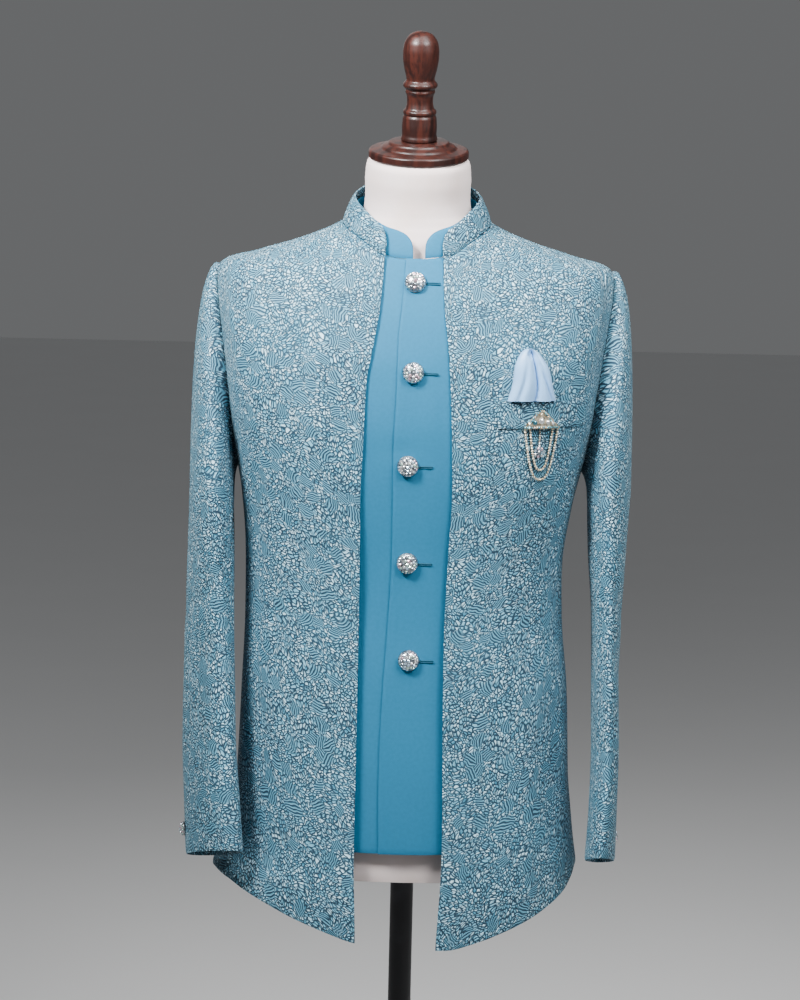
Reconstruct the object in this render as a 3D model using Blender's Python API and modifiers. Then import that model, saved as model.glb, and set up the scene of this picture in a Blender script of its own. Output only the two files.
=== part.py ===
"""A bandhgala jacket worn open over its matching waistcoat, on a limbless dress form.

Metres, +Z up. The front faces -Y and +X is to the right as seen from the front. The origin is
on the floor under the middle of the stand. Every layer of cloth is the form's own surface
moved out by that layer's ease, so a layer never crosses the one beneath it.
"""

import math

import bmesh
import bpy
import numpy as np
from mathutils import Matrix, Vector

COLLECTION = "bandhgala_jacket"


def table(columns, *rows):
    """Turns rows of numbers into one array for each named column."""
    return dict(zip(columns.split(), np.array(rows, float).T))


# Cloth walls and the clearances between pieces
JACKET_WALL = 0.0020
WAISTCOAT_WALL = 0.0015
SEAM_GAP = 0.0004
SIDE_GAP = 0.0018
SHOULDER_GAP = 0.0025
COLLAR_GAP = 0.0005
SEAT_GAP = 0.0003
PANEL_SEAT = 0.0009
LAP_GAP = 0.0013
LAP_RISE = WAISTCOAT_WALL + LAP_GAP

# The form: horizontal sections from its underside to the top of the neck, with the first one
# carrying the form's lines down under it for the skirts of the jacket
FORM_BOTTOM = 0.754
NECK_TOP = 1.5175
FORM_LEVELS = (FORM_BOTTOM, 0.830, 0.930, 1.030, 1.090, 1.150, 1.210, 1.270, 1.320, 1.360, 1.388,
               1.399, 1.404, 1.4088, 1.4148, 1.422, 1.4297, 1.437, 1.4446, 1.454, 1.468, 1.490,
               NECK_TOP)
FIGURE = table(
    "z half_width front back centre_y squareness tilt",
    (0.640, 0.1700, 0.1120, 0.1300, 0.000, 2.30, 0),
    (0.754, 0.1670, 0.1080, 0.1250, 0.000, 2.30, 0),
    (0.860, 0.1630, 0.1030, 0.1160, 0.000, 2.30, 0),
    (0.950, 0.1570, 0.0980, 0.1040, 0.000, 2.30, 0),
    (1.030, 0.1510, 0.0960, 0.0980, 0.000, 2.30, 0),
    (1.090, 0.1550, 0.1000, 0.1010, 0.000, 2.35, 0),
    (1.150, 0.1660, 0.1080, 0.1100, 0.000, 2.50, 0),
    (1.200, 0.1790, 0.1140, 0.1180, 0.000, 2.65, 0),
    (1.250, 0.1900, 0.1170, 0.1230, 0.000, 2.80, 0),
    (1.300, 0.1990, 0.1150, 0.1240, 0.000, 2.80, 0),
    (1.345, 0.2050, 0.1070, 0.1180, 0.000, 2.70, 0),
    (1.375, 0.2075, 0.0980, 0.1090, 0.000, 2.50, 0),
    (1.392, 0.2065, 0.0915, 0.1020, 0.000, 2.35, 0),
    (1.3990, 0.2035, 0.0885, 0.0985, 0.000, 2.25, 0),
    (1.4040, 0.1940, 0.0862, 0.0960, 0.000, 2.20, 0),
    (1.4088, 0.1735, 0.0840, 0.0935, 0.000, 2.15, 0),
    (1.4148, 0.1540, 0.0810, 0.0900, 0.000, 2.10, 0),
    (1.4220, 0.1300, 0.0775, 0.0850, 0.000, 2.10, 0),
    (1.4297, 0.1090, 0.0740, 0.0800, 0.000, 2.10, 0),
    (1.4370, 0.0915, 0.0700, 0.0750, 0.000, 2.10, 0),
    (1.4446, 0.0775, 0.0665, 0.0700, 0.000, 2.10, 0),
    (1.4520, 0.0675, 0.0620, 0.0640, -0.002, 2.10, 1),
    (1.4620, 0.0605, 0.0585, 0.0585, -0.004, 2.05, 3),
    (1.4800, 0.0575, 0.0565, 0.0560, -0.006, 2.00, 7),
    (1.5175, 0.0550, 0.0550, 0.0550, -0.011, 2.00, 10),
)

# Ease: how far a layer's outer face stands off the form, in front, at each side and behind
JACKET_EASE = table(
    "z front left right back",
    (0.640, 0.0230, 0.0480, 0.0280, 0.0200),
    (0.750, 0.0212, 0.0395, 0.0232, 0.0200),
    (0.766, 0.0208, 0.0270, 0.0214, 0.0200),
    (0.785, 0.0204, 0.0200, 0.0192, 0.0200),
    (0.810, 0.0198, 0.0190, 0.0172, 0.0200),
    (0.860, 0.0190, 0.0188, 0.0145, 0.0200),
    (0.950, 0.0175, 0.0215, 0.0165, 0.0190),
    (1.030, 0.0150, 0.0250, 0.0150, 0.0160),
    (1.090, 0.0120, 0.0215, 0.0100, 0.0140),
    (1.150, 0.0090, 0.0145, 0.0075, 0.0120),
    (1.200, 0.0070, 0.0095, 0.0058, 0.0090),
    (1.250, 0.0060, 0.0080, 0.0056, 0.0075),
    (1.300, 0.0056, 0.0070, 0.0055, 0.0065),
    (1.375, 0.0055, 0.0058, 0.0055, 0.0058),
    (1.400, 0.0055, 0.0055, 0.0055, 0.0055),
    (1.480, 0.0055, 0.0055, 0.0055, 0.0055),
)
WAISTCOAT_EASE = table(
    "z front left right back",
    (0.640, 0.0100, 0.0070, 0.0070, 0.0080),
    (0.780, 0.0100, 0.0070, 0.0070, 0.0080),
    (0.860, 0.0090, 0.0060, 0.0060, 0.0080),
    (0.950, 0.0080, 0.0065, 0.0065, 0.0070),
    (1.030, 0.0065, 0.0060, 0.0060, 0.0050),
    (1.090, 0.0045, 0.0040, 0.0040, 0.0040),
    (1.150, 0.0030, 0.0025, 0.0025, 0.0028),
    (1.200, 0.0022, 0.0016, 0.0016, 0.0016),
    (1.300, 0.0018, -0.0010, -0.0010, -0.0010),
    (1.370, 0.0014, -0.0032, -0.0032, -0.0032),
    (1.415, 0.0012, -0.0026, -0.0026, -0.0026),
    (1.435, 0.0012, -0.0008, -0.0008, -0.0004),
    (1.450, 0.0012, 0.0006, 0.0006, 0.0008),
    (1.480, 0.0012, 0.0010, 0.0010, 0.0012),
)

# How far the form itself lies in from those lines under the cloth
FORM_INSET = table(
    "z inset",
    (0.754, 0.0020),
    (0.810, 0.0045),
    (1.260, 0.0050),
    (1.350, 0.0130),
    (1.415, 0.0130),
    (1.437, 0.0065),
    (1.455, 0.0035),
    (1.475, 0.0022),
    (1.495, 0.0000),
)

# The largest soft folds of the jacket's body: where, how they lean, and how deep they are
FOLD_ARC_RADIUS = 0.150
JACKET_FOLDS = table(
    "turn z lean length width depth",
    (-64, 1.120, 8, 0.090, 0.018, -0.0030),
    (-40, 0.830, -4, 0.110, 0.026, 0.0030),
    (-27, 0.900, 2, 0.120, 0.020, -0.0022),
    (62, 1.100, -10, 0.080, 0.018, -0.0024),
    (44, 0.820, 5, 0.110, 0.024, 0.0030),
    (28, 0.880, 0, 0.120, 0.022, -0.0020),
    (118, 1.180, -24, 0.080, 0.020, -0.0030),
    (-118, 1.180, 24, 0.080, 0.020, -0.0030),
    (150, 0.860, 6, 0.120, 0.028, 0.0035),
    (-146, 0.840, -5, 0.120, 0.026, 0.0035),
    (176, 0.900, 2, 0.130, 0.026, -0.0030),
)

# Hems: height of the lower edge round the body, measured from the centre front
HEM = table(
    "turn z",
    (-180, 0.741),
    (-150, 0.741),
    (-120, 0.742),
    (-92, 0.744),
    (-78, 0.748),
    (-65, 0.745),
    (-55, 0.737),
    (-45, 0.727),
    (-35, 0.715),
    (-25, 0.7035),
    (-15, 0.694),
    (15, 0.688),
    (25, 0.695),
    (35, 0.7055),
    (45, 0.717),
    (55, 0.729),
    (65, 0.741),
    (72, 0.751),
    (80, 0.758),
    (92, 0.756),
    (120, 0.748),
    (150, 0.742),
    (180, 0.741),
)
WAISTCOAT_HEM = 0.788

# Front edges as seen from the front: how far each stands from the middle at each height
JACKET_EDGE = table(
    "z left right",
    (0.640, -0.0485, 0.0345),
    (0.698, -0.0490, 0.0370),
    (0.790, -0.0520, 0.0410),
    (0.924, -0.0520, 0.0390),
    (1.015, -0.0520, 0.0380),
    (1.110, -0.0525, 0.0405),
    (1.168, -0.0532, 0.0428),
    (1.222, -0.0512, 0.0415),
    (1.290, -0.0490, 0.0380),
    (1.323, -0.0435, 0.0355),
    (1.372, -0.0362, 0.0300),
    (1.425, -0.0324, 0.0275),
)
PLACKET_EDGE = table(
    "z lap under",
    (0.640, -0.0260, 0.0120),
    (0.787, -0.0262, 0.0120),
    (0.867, -0.0274, 0.0120),
    (0.960, -0.0252, 0.0120),
    (1.013, -0.0222, 0.0120),
    (1.113, -0.0185, 0.0120),
    (1.220, -0.0194, 0.0120),
    (1.273, -0.0177, 0.0120),
    (1.340, -0.0163, 0.0120),
    (1.369, -0.0135, 0.0120),
    (1.412, -0.0107, 0.0120),
)
LAP_FLAT_TO = 0.016
LAP_FADES_BY = 0.046

# Necklines as ovals seen from above
JACKET_NECK = dict(centre_y=-0.0100, half_width=0.0790, front=0.0800, back=0.0720, squareness=2.2)
WAISTCOAT_NECK = dict(centre_y=-0.0100, half_width=0.0742, front=0.0724, back=0.0668, squareness=2.5)

# Armholes: an upright oval on the side of each layer
SIDE_SEAM = math.radians(94)
JACKET_ARMHOLE = dict(top=1.3985, bottom=1.1865, front=math.radians(25), back=math.radians(25))
WAISTCOAT_ARMHOLE = dict(top=1.4060, bottom=1.1650, front=math.radians(33), back=math.radians(33))

# Collars: the stand's height and inward lean from the front end round to the centre back
JACKET_COLLAR = table(
    "share height lean",
    (0.00, 0.0270, 12),
    (0.20, 0.0290, 16),
    (0.50, 0.0320, 23),
    (0.80, 0.0360, 16),
    (1.00, 0.0370, 8),
)
WAISTCOAT_COLLAR = table(
    "share height lean",
    (0.00, 0.0300, 17),
    (0.20, 0.0290, 19),
    (0.50, 0.0260, 24),
    (0.80, 0.0280, 17),
    (1.00, 0.0290, 12),
)
COLLAR_CORNER = 0.011
WAISTCOAT_COLLAR_CORNER = 0.025
WAISTCOAT_COLLAR_ENDS = (-0.0036, 0.0089)

# Sleeves: rings from the first one under the arm to the cuff. "out" and "y" place a ring's
# centre, "lean" lifts its front edge, "yaw" turns its front edge inwards
SLEEVE_LEFT = table(
    "z out y lean yaw thin deep",
    (0.774, 0.2112, -0.0660, 16, 2, 0.0163, 0.0640),
    (0.830, 0.2137, -0.0520, 15, 1, 0.0150, 0.0680),
    (0.890, 0.2150, -0.0360, 14, 0, 0.0145, 0.0720),
    (0.950, 0.2140, -0.0220, 11, 0, 0.0145, 0.0760),
    (1.030, 0.2137, -0.0090, 5, 0, 0.0160, 0.0790),
    (1.100, 0.2125, -0.0050, 1, 1, 0.0205, 0.0800),
    (1.160, 0.2128, -0.0040, 0, 3, 0.0240, 0.0805),
)
SLEEVE_RIGHT = table(
    "z out y lean yaw thin deep",
    (0.774, 0.2018, -0.0720, 17, 24, 0.0240, 0.0590),
    (0.830, 0.2062, -0.0580, 16, 22, 0.0230, 0.0630),
    (0.890, 0.2110, -0.0400, 15, 20, 0.0222, 0.0665),
    (0.950, 0.2128, -0.0240, 11, 17, 0.0228, 0.0700),
    (1.030, 0.2140, -0.0100, 5, 12, 0.0240, 0.0740),
    (1.100, 0.2138, -0.0050, 1, 8, 0.0244, 0.0775),
    (1.160, 0.2140, -0.0040, 0, 5, 0.0242, 0.0800),
)
SLEEVE_FOLDS = table(
    "turn z lean length width depth",
    (70, 1.060, 62, 0.045, 0.012, -0.0026),
    (60, 1.000, 56, 0.050, 0.013, -0.0022),
    (-70, 1.045, -60, 0.045, 0.013, -0.0024),
    (20, 1.200, 4, 0.090, 0.018, -0.0016),
    (48, 0.880, 6, 0.080, 0.012, 0.0020),
)
SLEEVE_ARC_RADIUS = 0.050
CAP_OUT = 0.0205
CAP_PROUD = 0.0050
CAP_DROP = 0.68
FRONT_SLEEVE_SEAM = 135
BACK_SLEEVE_SEAM = -120
SLEEVE_STEP = 15

# Breast pocket and what it holds, placed as seen from the front
WELT = dict(left=0.0872, right=0.1800, bottom=1.2440, top=1.2720, thickness=0.0016)
SQUARE = dict(left=0.0975, right=0.1475, bottom=1.2726, top=1.3260, thickness=0.0062)
BROOCH = dict(middle=0.1340, half_bar=0.0185, half_plate=0.0172, bottom=1.2434, top=1.2632)
BROOCH_BAR_HEIGHT = 0.0030
BROOCH_THICKNESS = 0.0026
CHAIN_RADIUS = 0.0013
CHAINS = table(
    "half_span top lowest",
    (0.0172, 1.2424, 1.1885),
    (0.0118, 1.2424, 1.1990),
)
DROP = dict(x=0.1325, top=1.2426, bottom=1.2110, half_width=0.0042, thickness=0.0030)
DROP_OUTLINE = (0.15, 0.70, 1.0, 0.55, 0.16, 0.14)

# Buttons: places as seen from the front on the waistcoat, and on the sleeves' back seams
BUTTONS = table(
    "x z",
    (-0.0006, 1.3916),
    (-0.0007, 1.2999),
    (-0.0041, 1.2024),
    (-0.0025, 1.0986),
    (0.0013, 0.9949),
)
BUTTON_RADIUS = 0.0112
BUTTON_HEIGHT = 0.0085
CUFF_BUTTON_RADIUS = 0.0080
CUFF_BUTTON_HEIGHT = 0.0060
CUFF_BUTTON_RISE = 0.026
CUFF_BUTTON_ANGLE = -35
BUTTON_SEAT = 0.0005
CUFF_BUTTON_SEAT = 0.0005

# Stand and turned wood
POLE_RADIUS = 0.0125
BASE_RADIUS = 0.190
BASE_HEIGHT = 0.018
BOSS_RADIUS = 0.024
BOSS_HEIGHT = 0.034
CAP_PROFILE = (
    (0.0000, 0.0185),
    (0.0200, 0.0185),
    (0.0315, 0.0175),
    (0.0330, 0.0150),
    (0.0385, 0.0128),
    (0.0400, 0.0105),
    (0.0515, 0.0092),
    (0.0530, 0.0075),
    (0.0530, 0.0014),
    (0.0518, 0.0000),
    (0.0000, 0.0000),
)
FINIAL_PROFILE = (
    (0.0000, 0.1160),
    (0.0060, 0.1152),
    (0.0125, 0.1120),
    (0.0175, 0.1050),
    (0.0192, 0.0960),
    (0.0190, 0.0860),
    (0.0172, 0.0755),
    (0.0150, 0.0670),
    (0.0148, 0.0640),
    (0.0182, 0.0605),
    (0.0182, 0.0575),
    (0.0150, 0.0545),
    (0.0160, 0.0520),
    (0.0140, 0.0480),
    (0.0136, 0.0400),
    (0.0150, 0.0340),
    (0.0176, 0.0320),
    (0.0176, 0.0290),
    (0.0164, 0.0275),
    (0.0178, 0.0250),
    (0.0186, 0.0150),
    (0.0182, 0.0060),
    (0.0192, 0.0030),
    (0.0192, 0.0000),
    (0.0000, 0.0000),
)

# How finely each surface is divided
JACKET_NECK_COLUMNS = 6
JACKET_BACK_NECK_COLUMNS = 5
JACKET_SHOULDER_COLUMNS = 6
SKIRT_ROWS = 10
YOKE_ROWS = 12
WAISTCOAT_NECK_COLUMNS = 6
WAISTCOAT_SHOULDER_COLUMNS = 4
WAISTCOAT_SKIRT_ROWS = 5
WAISTCOAT_YOKE_ROWS = 10
CAP_ROWS = 7
ARM_ROWS = 12
COLLAR_ROWS = 3
FORM_COLUMNS = 28
TURNED_STEPS = 20
FINIAL_STEPS = 16
BASE_STEPS = 32
BUTTON_STEPS = 10


def read(source, column, at):
    """Reads a table's column along a smooth curve that never overshoots its rows."""
    first = next(iter(source))
    xs, ys = source[first], source[column]
    run = np.diff(xs)
    slope = np.diff(ys) / run
    product = slope[:-1] * slope[1:]
    total = np.where(product > 0, slope[:-1] + slope[1:], 1.0)
    inner = np.where(product > 0, 2 * product / total, 0.0)
    tangent = np.concatenate(([slope[0]], inner, [slope[-1]]))
    at = np.clip(at, xs[0], xs[-1])
    i = np.clip(np.searchsorted(xs, at, side="right") - 1, 0, len(run) - 1)
    t = (at - xs[i]) / run[i]
    rise = t * t * (3 - 2 * t)
    start = t * (1 - t) ** 2
    end = t * t * (t - 1)
    return ys[i] + rise * (ys[i + 1] - ys[i]) + run[i] * (start * tangent[i] + end * tangent[i + 1])


def smoothstep(start, end, x):
    """Rises from 0 at start to 1 at end, level at both."""
    t = np.clip((x - start) / (end - start), 0, 1)
    return t * t * (3 - 2 * t)


def fold_height(folds, turn, z, arc_radius):
    """Sums soft ridges and troughs, each a bell across its line and along it."""
    total = np.zeros(np.broadcast(turn, z).shape)
    for at, level, lean, length, width, depth in zip(*folds.values()):
        aside = np.angle(np.exp(1j * (turn - math.radians(at)))) * arc_radius
        above = z - level
        tip = math.radians(lean)
        across = aside * math.cos(tip) - above * math.sin(tip)
        along = aside * math.sin(tip) + above * math.cos(tip)
        total = total + depth * np.exp(-((across / width) ** 2) - (along / length) ** 2)
    return total


def figure(turn, z):
    """The form's surface: turn goes round from the centre front, positive to the right."""
    sine, cosine = np.sin(turn), np.cos(turn)
    power = read(FIGURE, "squareness", z)
    reach = (np.abs(sine) ** power + np.abs(cosine) ** power) ** (-1 / power)
    depth = np.where(cosine > 0, read(FIGURE, "front", z), read(FIGURE, "back", z))
    aside = read(FIGURE, "half_width", z) * sine * reach
    forward = -depth * cosine * reach
    lift = forward * np.tan(np.radians(read(FIGURE, "tilt", z)))
    return np.stack([aside, read(FIGURE, "centre_y", z) + forward, z + lift], axis=-1)


def unit(vectors):
    """Scales vectors to length one."""
    return vectors / np.linalg.norm(vectors, axis=-1, keepdims=True)


def normals(surface, across, up, step=0.001):
    """Outward normals of a surface whose first direction runs to the right seen from outside."""
    side = surface(across + step, up) - surface(across - step, up)
    rise = surface(across, up + step) - surface(across, up - step)
    return unit(np.cross(side, rise))


class Layer:
    """One layer of cloth: the form's surface moved out by the layer's ease and folds."""

    def __init__(self, ease, folds, neck, armhole, hem):
        self.ease = ease
        self.folds = folds
        self.neck = neck
        self.armhole_size = armhole
        self.hem = hem

    def distance(self, turn, z):
        """How far the layer's outer face stands off the form."""
        side = np.where(np.sin(turn) > 0, read(self.ease, "right", z), read(self.ease, "left", z))
        face = np.where(np.cos(turn) > 0, read(self.ease, "front", z), read(self.ease, "back", z))
        total = face * np.cos(turn) ** 2 + side * np.sin(turn) ** 2
        if self.folds:
            total = total + fold_height(self.folds, turn, z, FOLD_ARC_RADIUS)
        return total

    def points(self, turn, z, lift=0.0):
        """Points of the layer's outer face, lifted off it by a distance."""
        turn, z = np.broadcast_arrays(np.asarray(turn, float), np.asarray(z, float))
        out = normals(figure, turn, z, 0.0004)
        return figure(turn, z) + out * (self.distance(turn, z) + lift)[..., None]

    def under_front(self, x, z, lift=0.0):
        """Turn and height on the form for the point of the layer seen from the front at x, z."""
        x, z = np.broadcast_arrays(np.asarray(x, float), np.asarray(z, float))
        aim_x, aim_z = x.copy(), z.copy()
        for _ in range(6):
            power = read(FIGURE, "squareness", aim_z)
            share = np.clip(np.abs(aim_x) / read(FIGURE, "half_width", aim_z), 1e-6, 0.99999)
            level = (share ** -power - 1) ** (1 / power)
            turn = np.sign(aim_x) * np.arctan2(1, level)
            found = self.points(turn, aim_z, lift)
            aim_x = aim_x + x - found[..., 0]
            aim_z = aim_z + z - found[..., 2]
        return turn, aim_z

    def neckline(self, turn):
        """Height on the form of the neckline, an oval seen from above."""
        oval = self.neck
        power = oval["squareness"]
        low = np.full(np.shape(turn), 1.400)
        high = np.full(np.shape(turn), 1.470)
        for _ in range(30):
            middle = (low + high) / 2
            at = self.points(turn, middle)
            depth = np.where(at[..., 1] < oval["centre_y"], oval["front"], oval["back"])
            aside = np.abs(at[..., 0] / oval["half_width"]) ** power
            along = np.abs((at[..., 1] - oval["centre_y"]) / depth) ** power
            outside = aside + along > 1
            low = np.where(outside, middle, low)
            high = np.where(outside, high, middle)
        return (low + high) / 2

    def armhole(self, angle, shrink=0.0):
        """Turn and height of the armhole at an angle from its top, positive to the front."""
        size = self.armhole_size
        half = (size["top"] - size["bottom"]) / 2 - shrink
        middle = (size["top"] + size["bottom"]) / 2
        reach = np.where(np.sin(angle) > 0, size["front"], size["back"]) - shrink / 0.12
        centre = math.pi / 2 + (SIDE_SEAM - math.pi / 2) * (1 - np.cos(angle)) / 2
        return centre - reach * np.sin(angle), middle + half * np.cos(angle)


def even(layer, turn, z, count):
    """Spaces points evenly by length along a line drawn on a layer."""
    run = np.linalg.norm(np.diff(layer.points(turn, z), axis=0), axis=1)
    run = np.concatenate(([0], np.cumsum(run)))
    want = np.linspace(0, run[-1], count + 1)
    return pair(np.interp(want, run, turn), np.interp(want, run, z))


def pair(turn, z):
    """Joins turns and heights into one array."""
    return np.stack(np.broadcast_arrays(turn, z), axis=-1)


def climb(z, back=False):
    """Length along the form's outline seen from the front up to a height, or the reverse."""
    levels = np.linspace(1.100, 1.470, 300)
    step = np.hypot(np.diff(levels), np.diff(read(FIGURE, "half_width", levels)))
    run = np.concatenate(([0], np.cumsum(step)))
    return np.interp(z, run, levels) if back else np.interp(z, levels, run)


def yoke_patch(bottom, top, near, far):
    """Fills the part above the armpits, evenly along the outline of the shoulders."""
    edges = [np.stack([edge[:, 0], climb(edge[:, 1])], axis=-1) for edge in (bottom, top, near, far)]
    grid = coons(*edges)
    return np.stack([grid[..., 0], climb(grid[..., 1], back=True)], axis=-1)


def coons(bottom, top, near, far):
    """Fills a four-sided patch from its four edges, each a row of turns and heights."""
    across = np.linspace(0, 1, bottom.shape[0])[None, :, None]
    up = np.linspace(0, 1, near.shape[0])[:, None, None]
    ruled = (1 - up) * bottom[None] + up * top[None]
    ruled = ruled + (1 - across) * near[:, None] + across * far[:, None]
    corners = (1 - up) * ((1 - across) * bottom[0] + across * bottom[-1])
    corners = corners + up * ((1 - across) * top[0] + across * top[-1])
    return ruled - corners


def neck_corner(layer, side, edge_x):
    """Turn on the side's own half, and height, where a front edge meets the neckline."""
    level = 1.42
    for _ in range(10):
        turn, _ = layer.under_front(edge_x(level), level)
        level = float(layer.points(turn, layer.neckline(turn))[..., 2])
    return side * float(turn), level


def front_panel(layer, side, edge_x, counts):
    """Turn and height over a front, from its edge to the side seam and from hem to shoulder.

    side is 1 for the front at +X and -1 for the other. counts holds columns at the neck and
    along the shoulder, and rows below and above the level of the armpit.
    """
    neck_columns, shoulder_columns, skirt_rows, yoke_rows = counts
    columns = neck_columns + shoulder_columns
    pit = layer.armhole_size["bottom"]
    seam = SIDE_SEAM - SIDE_GAP
    share = np.linspace(0, 1, columns + 1)

    low = float(layer.hem(side * 0.25))
    for _ in range(4):
        low = float(layer.hem(layer.under_front(edge_x(low), low)[0]))
    rise = np.linspace(0, 1, skirt_rows + 1)
    level = low + (pit - low) * rise
    edge_turn, edge_z = layer.under_front(edge_x(level), level)
    turn = side * edge_turn[:, None] * (1 - share) + seam * share
    hem = layer.hem(side * turn[0]) + (edge_z[0] - layer.hem(edge_turn[0])) * (1 - share)
    top = edge_z[-1] * (1 - share) + pit * share
    skirt = pair(turn, hem + (top - hem) * rise[:, None])

    corner, corner_level = neck_corner(layer, side, edge_x)
    above = mirror_line(layer, side, corner, (neck_columns, shoulder_columns))
    hole = pair(*layer.armhole(np.linspace(math.pi, 0, yoke_rows + 1)))
    hole[0], hole[-1] = skirt[-1][-1], above[-1]
    level = np.linspace(pit, corner_level, 30)
    in_turn, in_z = layer.under_front(edge_x(level), level)
    near = even(layer, in_turn, in_z, yoke_rows) * [side, 1]
    near[0], near[-1] = skirt[-1][0], above[0]
    yoke = yoke_patch(skirt[-1], above, near, hole)
    grid = np.concatenate((skirt, yoke[1:]))
    return grid * [side, 1]


def mirror_line(layer, side, corner, counts):
    """The line above a front: its neckline and shoulder, with turns on its own half."""
    neck_turn = np.linspace(corner, math.pi / 2 - SHOULDER_GAP, 30)
    neck_z = layer.neckline(side * neck_turn)
    neck = even(layer, side * neck_turn, neck_z, counts[0]) * [side, 1]
    fall = np.linspace(neck[-1, 1], layer.armhole_size["top"], 30)
    shoulder = even(layer, np.full(30, side * neck_turn[-1]), fall, counts[1]) * [side, 1]
    return np.concatenate((neck, shoulder[1:]))


def back_panel(layer, counts):
    """Turn and height over the back, from the seam at +X round to the one at -X."""
    neck_columns, shoulder_columns, skirt_rows, yoke_rows = counts
    columns = 2 * (neck_columns + shoulder_columns)
    pit = layer.armhole_size["bottom"]
    start, end = SIDE_SEAM + SIDE_GAP, 2 * math.pi - SIDE_SEAM - SIDE_GAP
    turn = start + (end - start) * np.linspace(0, 1, columns + 1)
    rise = np.linspace(0, 1, skirt_rows + 1)[:, None]
    hem = layer.hem(turn)
    skirt = pair(turn[None, :], hem + (pit - hem) * rise)

    neck_turn = np.linspace(math.pi / 2 + SHOULDER_GAP, math.pi, 30)
    neck = even(layer, neck_turn, layer.neckline(neck_turn), neck_columns)
    fall = np.linspace(layer.armhole_size["top"], neck[0, 1], 30)
    shoulder = even(layer, np.full(30, neck_turn[0]), fall, shoulder_columns)
    half = np.concatenate((shoulder[:-1], neck))
    above = np.concatenate((half, (half * [-1, 1] + [2 * math.pi, 0])[::-1][1:]))
    right = pair(*layer.armhole(-np.linspace(math.pi, 0, yoke_rows + 1)))
    right[0], right[-1] = skirt[-1][0], above[0]
    left = right * [-1, 1] + [2 * math.pi, 0]
    left[0] = skirt[-1][-1]
    yoke = yoke_patch(skirt[-1], above, right, left)
    return np.concatenate((skirt, yoke[1:]))


def jacket_hem(turn):
    """Height of the jacket's lower edge."""
    return read(HEM, "z", np.degrees(np.angle(np.exp(1j * np.asarray(turn, float)))))


def waistcoat_hem(turn):
    """Height of the waistcoat's lower edge."""
    return np.full(np.shape(turn), WAISTCOAT_HEM)


def lap_rise(layer, turn, z):
    """How far the lapping front stands over the other one, fading away from the middle."""
    x = layer.points(turn, z)[..., 0]
    return LAP_RISE * (1 - smoothstep(LAP_FLAT_TO, LAP_FADES_BY, x))


def foot_line(*lines):
    """Joins the top edges of the panels into one line for a collar to stand on."""
    joined = [lines[0]]
    for line in lines[1:]:
        joined[-1][-1] = (joined[-1][-1] + line[0]) / 2
        joined.append(line[1:])
    return np.concatenate(joined)


def clip_line(line, x):
    """Cuts the front end of a line running away from the middle at a distance across."""
    past = np.abs(line[:, 0]) > abs(x)
    first = int(np.argmax(past & (np.sign(line[:, 0]) == np.sign(x))))
    before, after = line[first - 1], line[first]
    share = (x - before[0]) / (after[0] - before[0])
    return np.concatenate(([before + share * (after - before)], line[first:]))


def collar(line, sizes, neck, corner, thickness):
    """Outer and inner faces of a stand collar on its foot line, from +X round to -X."""
    run = np.concatenate(([0], np.cumsum(np.linalg.norm(np.diff(line, axis=0), axis=1))))
    length = run[-1]
    ends = corner * np.array([0, 0.06, 0.16, 0.32, 0.55, 0.8])
    inside = run[(run > corner * 1.05) & (run < length - corner * 1.05)]
    along = np.concatenate((ends, inside, length - ends[::-1]))
    foot = np.stack([np.interp(along, run, line[:, i]) for i in range(3)], axis=-1)
    share = 1 - np.abs(2 * along / length - 1)
    from_end = np.minimum(along, length - along)
    rounding = (1 - np.clip(1 - from_end / corner, 0, 1) ** 2.4) ** (1 / 2.4)
    height = read(sizes, "height", share) * (0.25 + 0.75 * rounding)
    lean = np.radians(read(sizes, "lean", share))[:, None]
    power = neck["squareness"]
    offset = foot[:, 1] - neck["centre_y"]
    depth = np.where(offset < 0, neck["front"], neck["back"])
    slope_x = np.sign(foot[:, 0]) * np.abs(foot[:, 0] / neck["half_width"]) ** (power - 1)
    slope_y = np.sign(offset) * np.abs(offset / depth) ** (power - 1)
    outward = np.stack([slope_x / neck["half_width"], slope_y / depth, 0 * offset], axis=-1)
    outward = unit(outward)
    upward = np.array([0.0, 0.0, 1.0])
    rise = np.linspace(0, 1, COLLAR_ROWS + 1)[:, None, None] * height[None, :, None]
    outer = foot + COLLAR_GAP * upward + rise * (np.cos(lean) * upward - np.sin(lean) * outward)
    out = np.cos(lean) * outward + np.sin(lean) * upward
    return outer, outer - out * thickness


def sleeve_ring(side, sizes, angle, z):
    """A point of the sleeve under the arm: angle 0 outwards, a quarter turn to the front."""
    thin, deep = read(sizes, "thin", z), read(sizes, "deep", z)
    yaw, lean = np.radians(read(sizes, "yaw", z)), np.radians(read(sizes, "lean", z))
    out, forward = thin * np.cos(angle), deep * np.sin(angle)
    outward = out * np.cos(yaw) - forward * np.sin(yaw)
    ahead = out * np.sin(yaw) + forward * np.cos(yaw)
    return np.stack([
        side * (read(sizes, "out", z) + outward),
        read(sizes, "y", z) - ahead * np.cos(lean),
        z + ahead * np.sin(lean),
    ], axis=-1)


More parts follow.
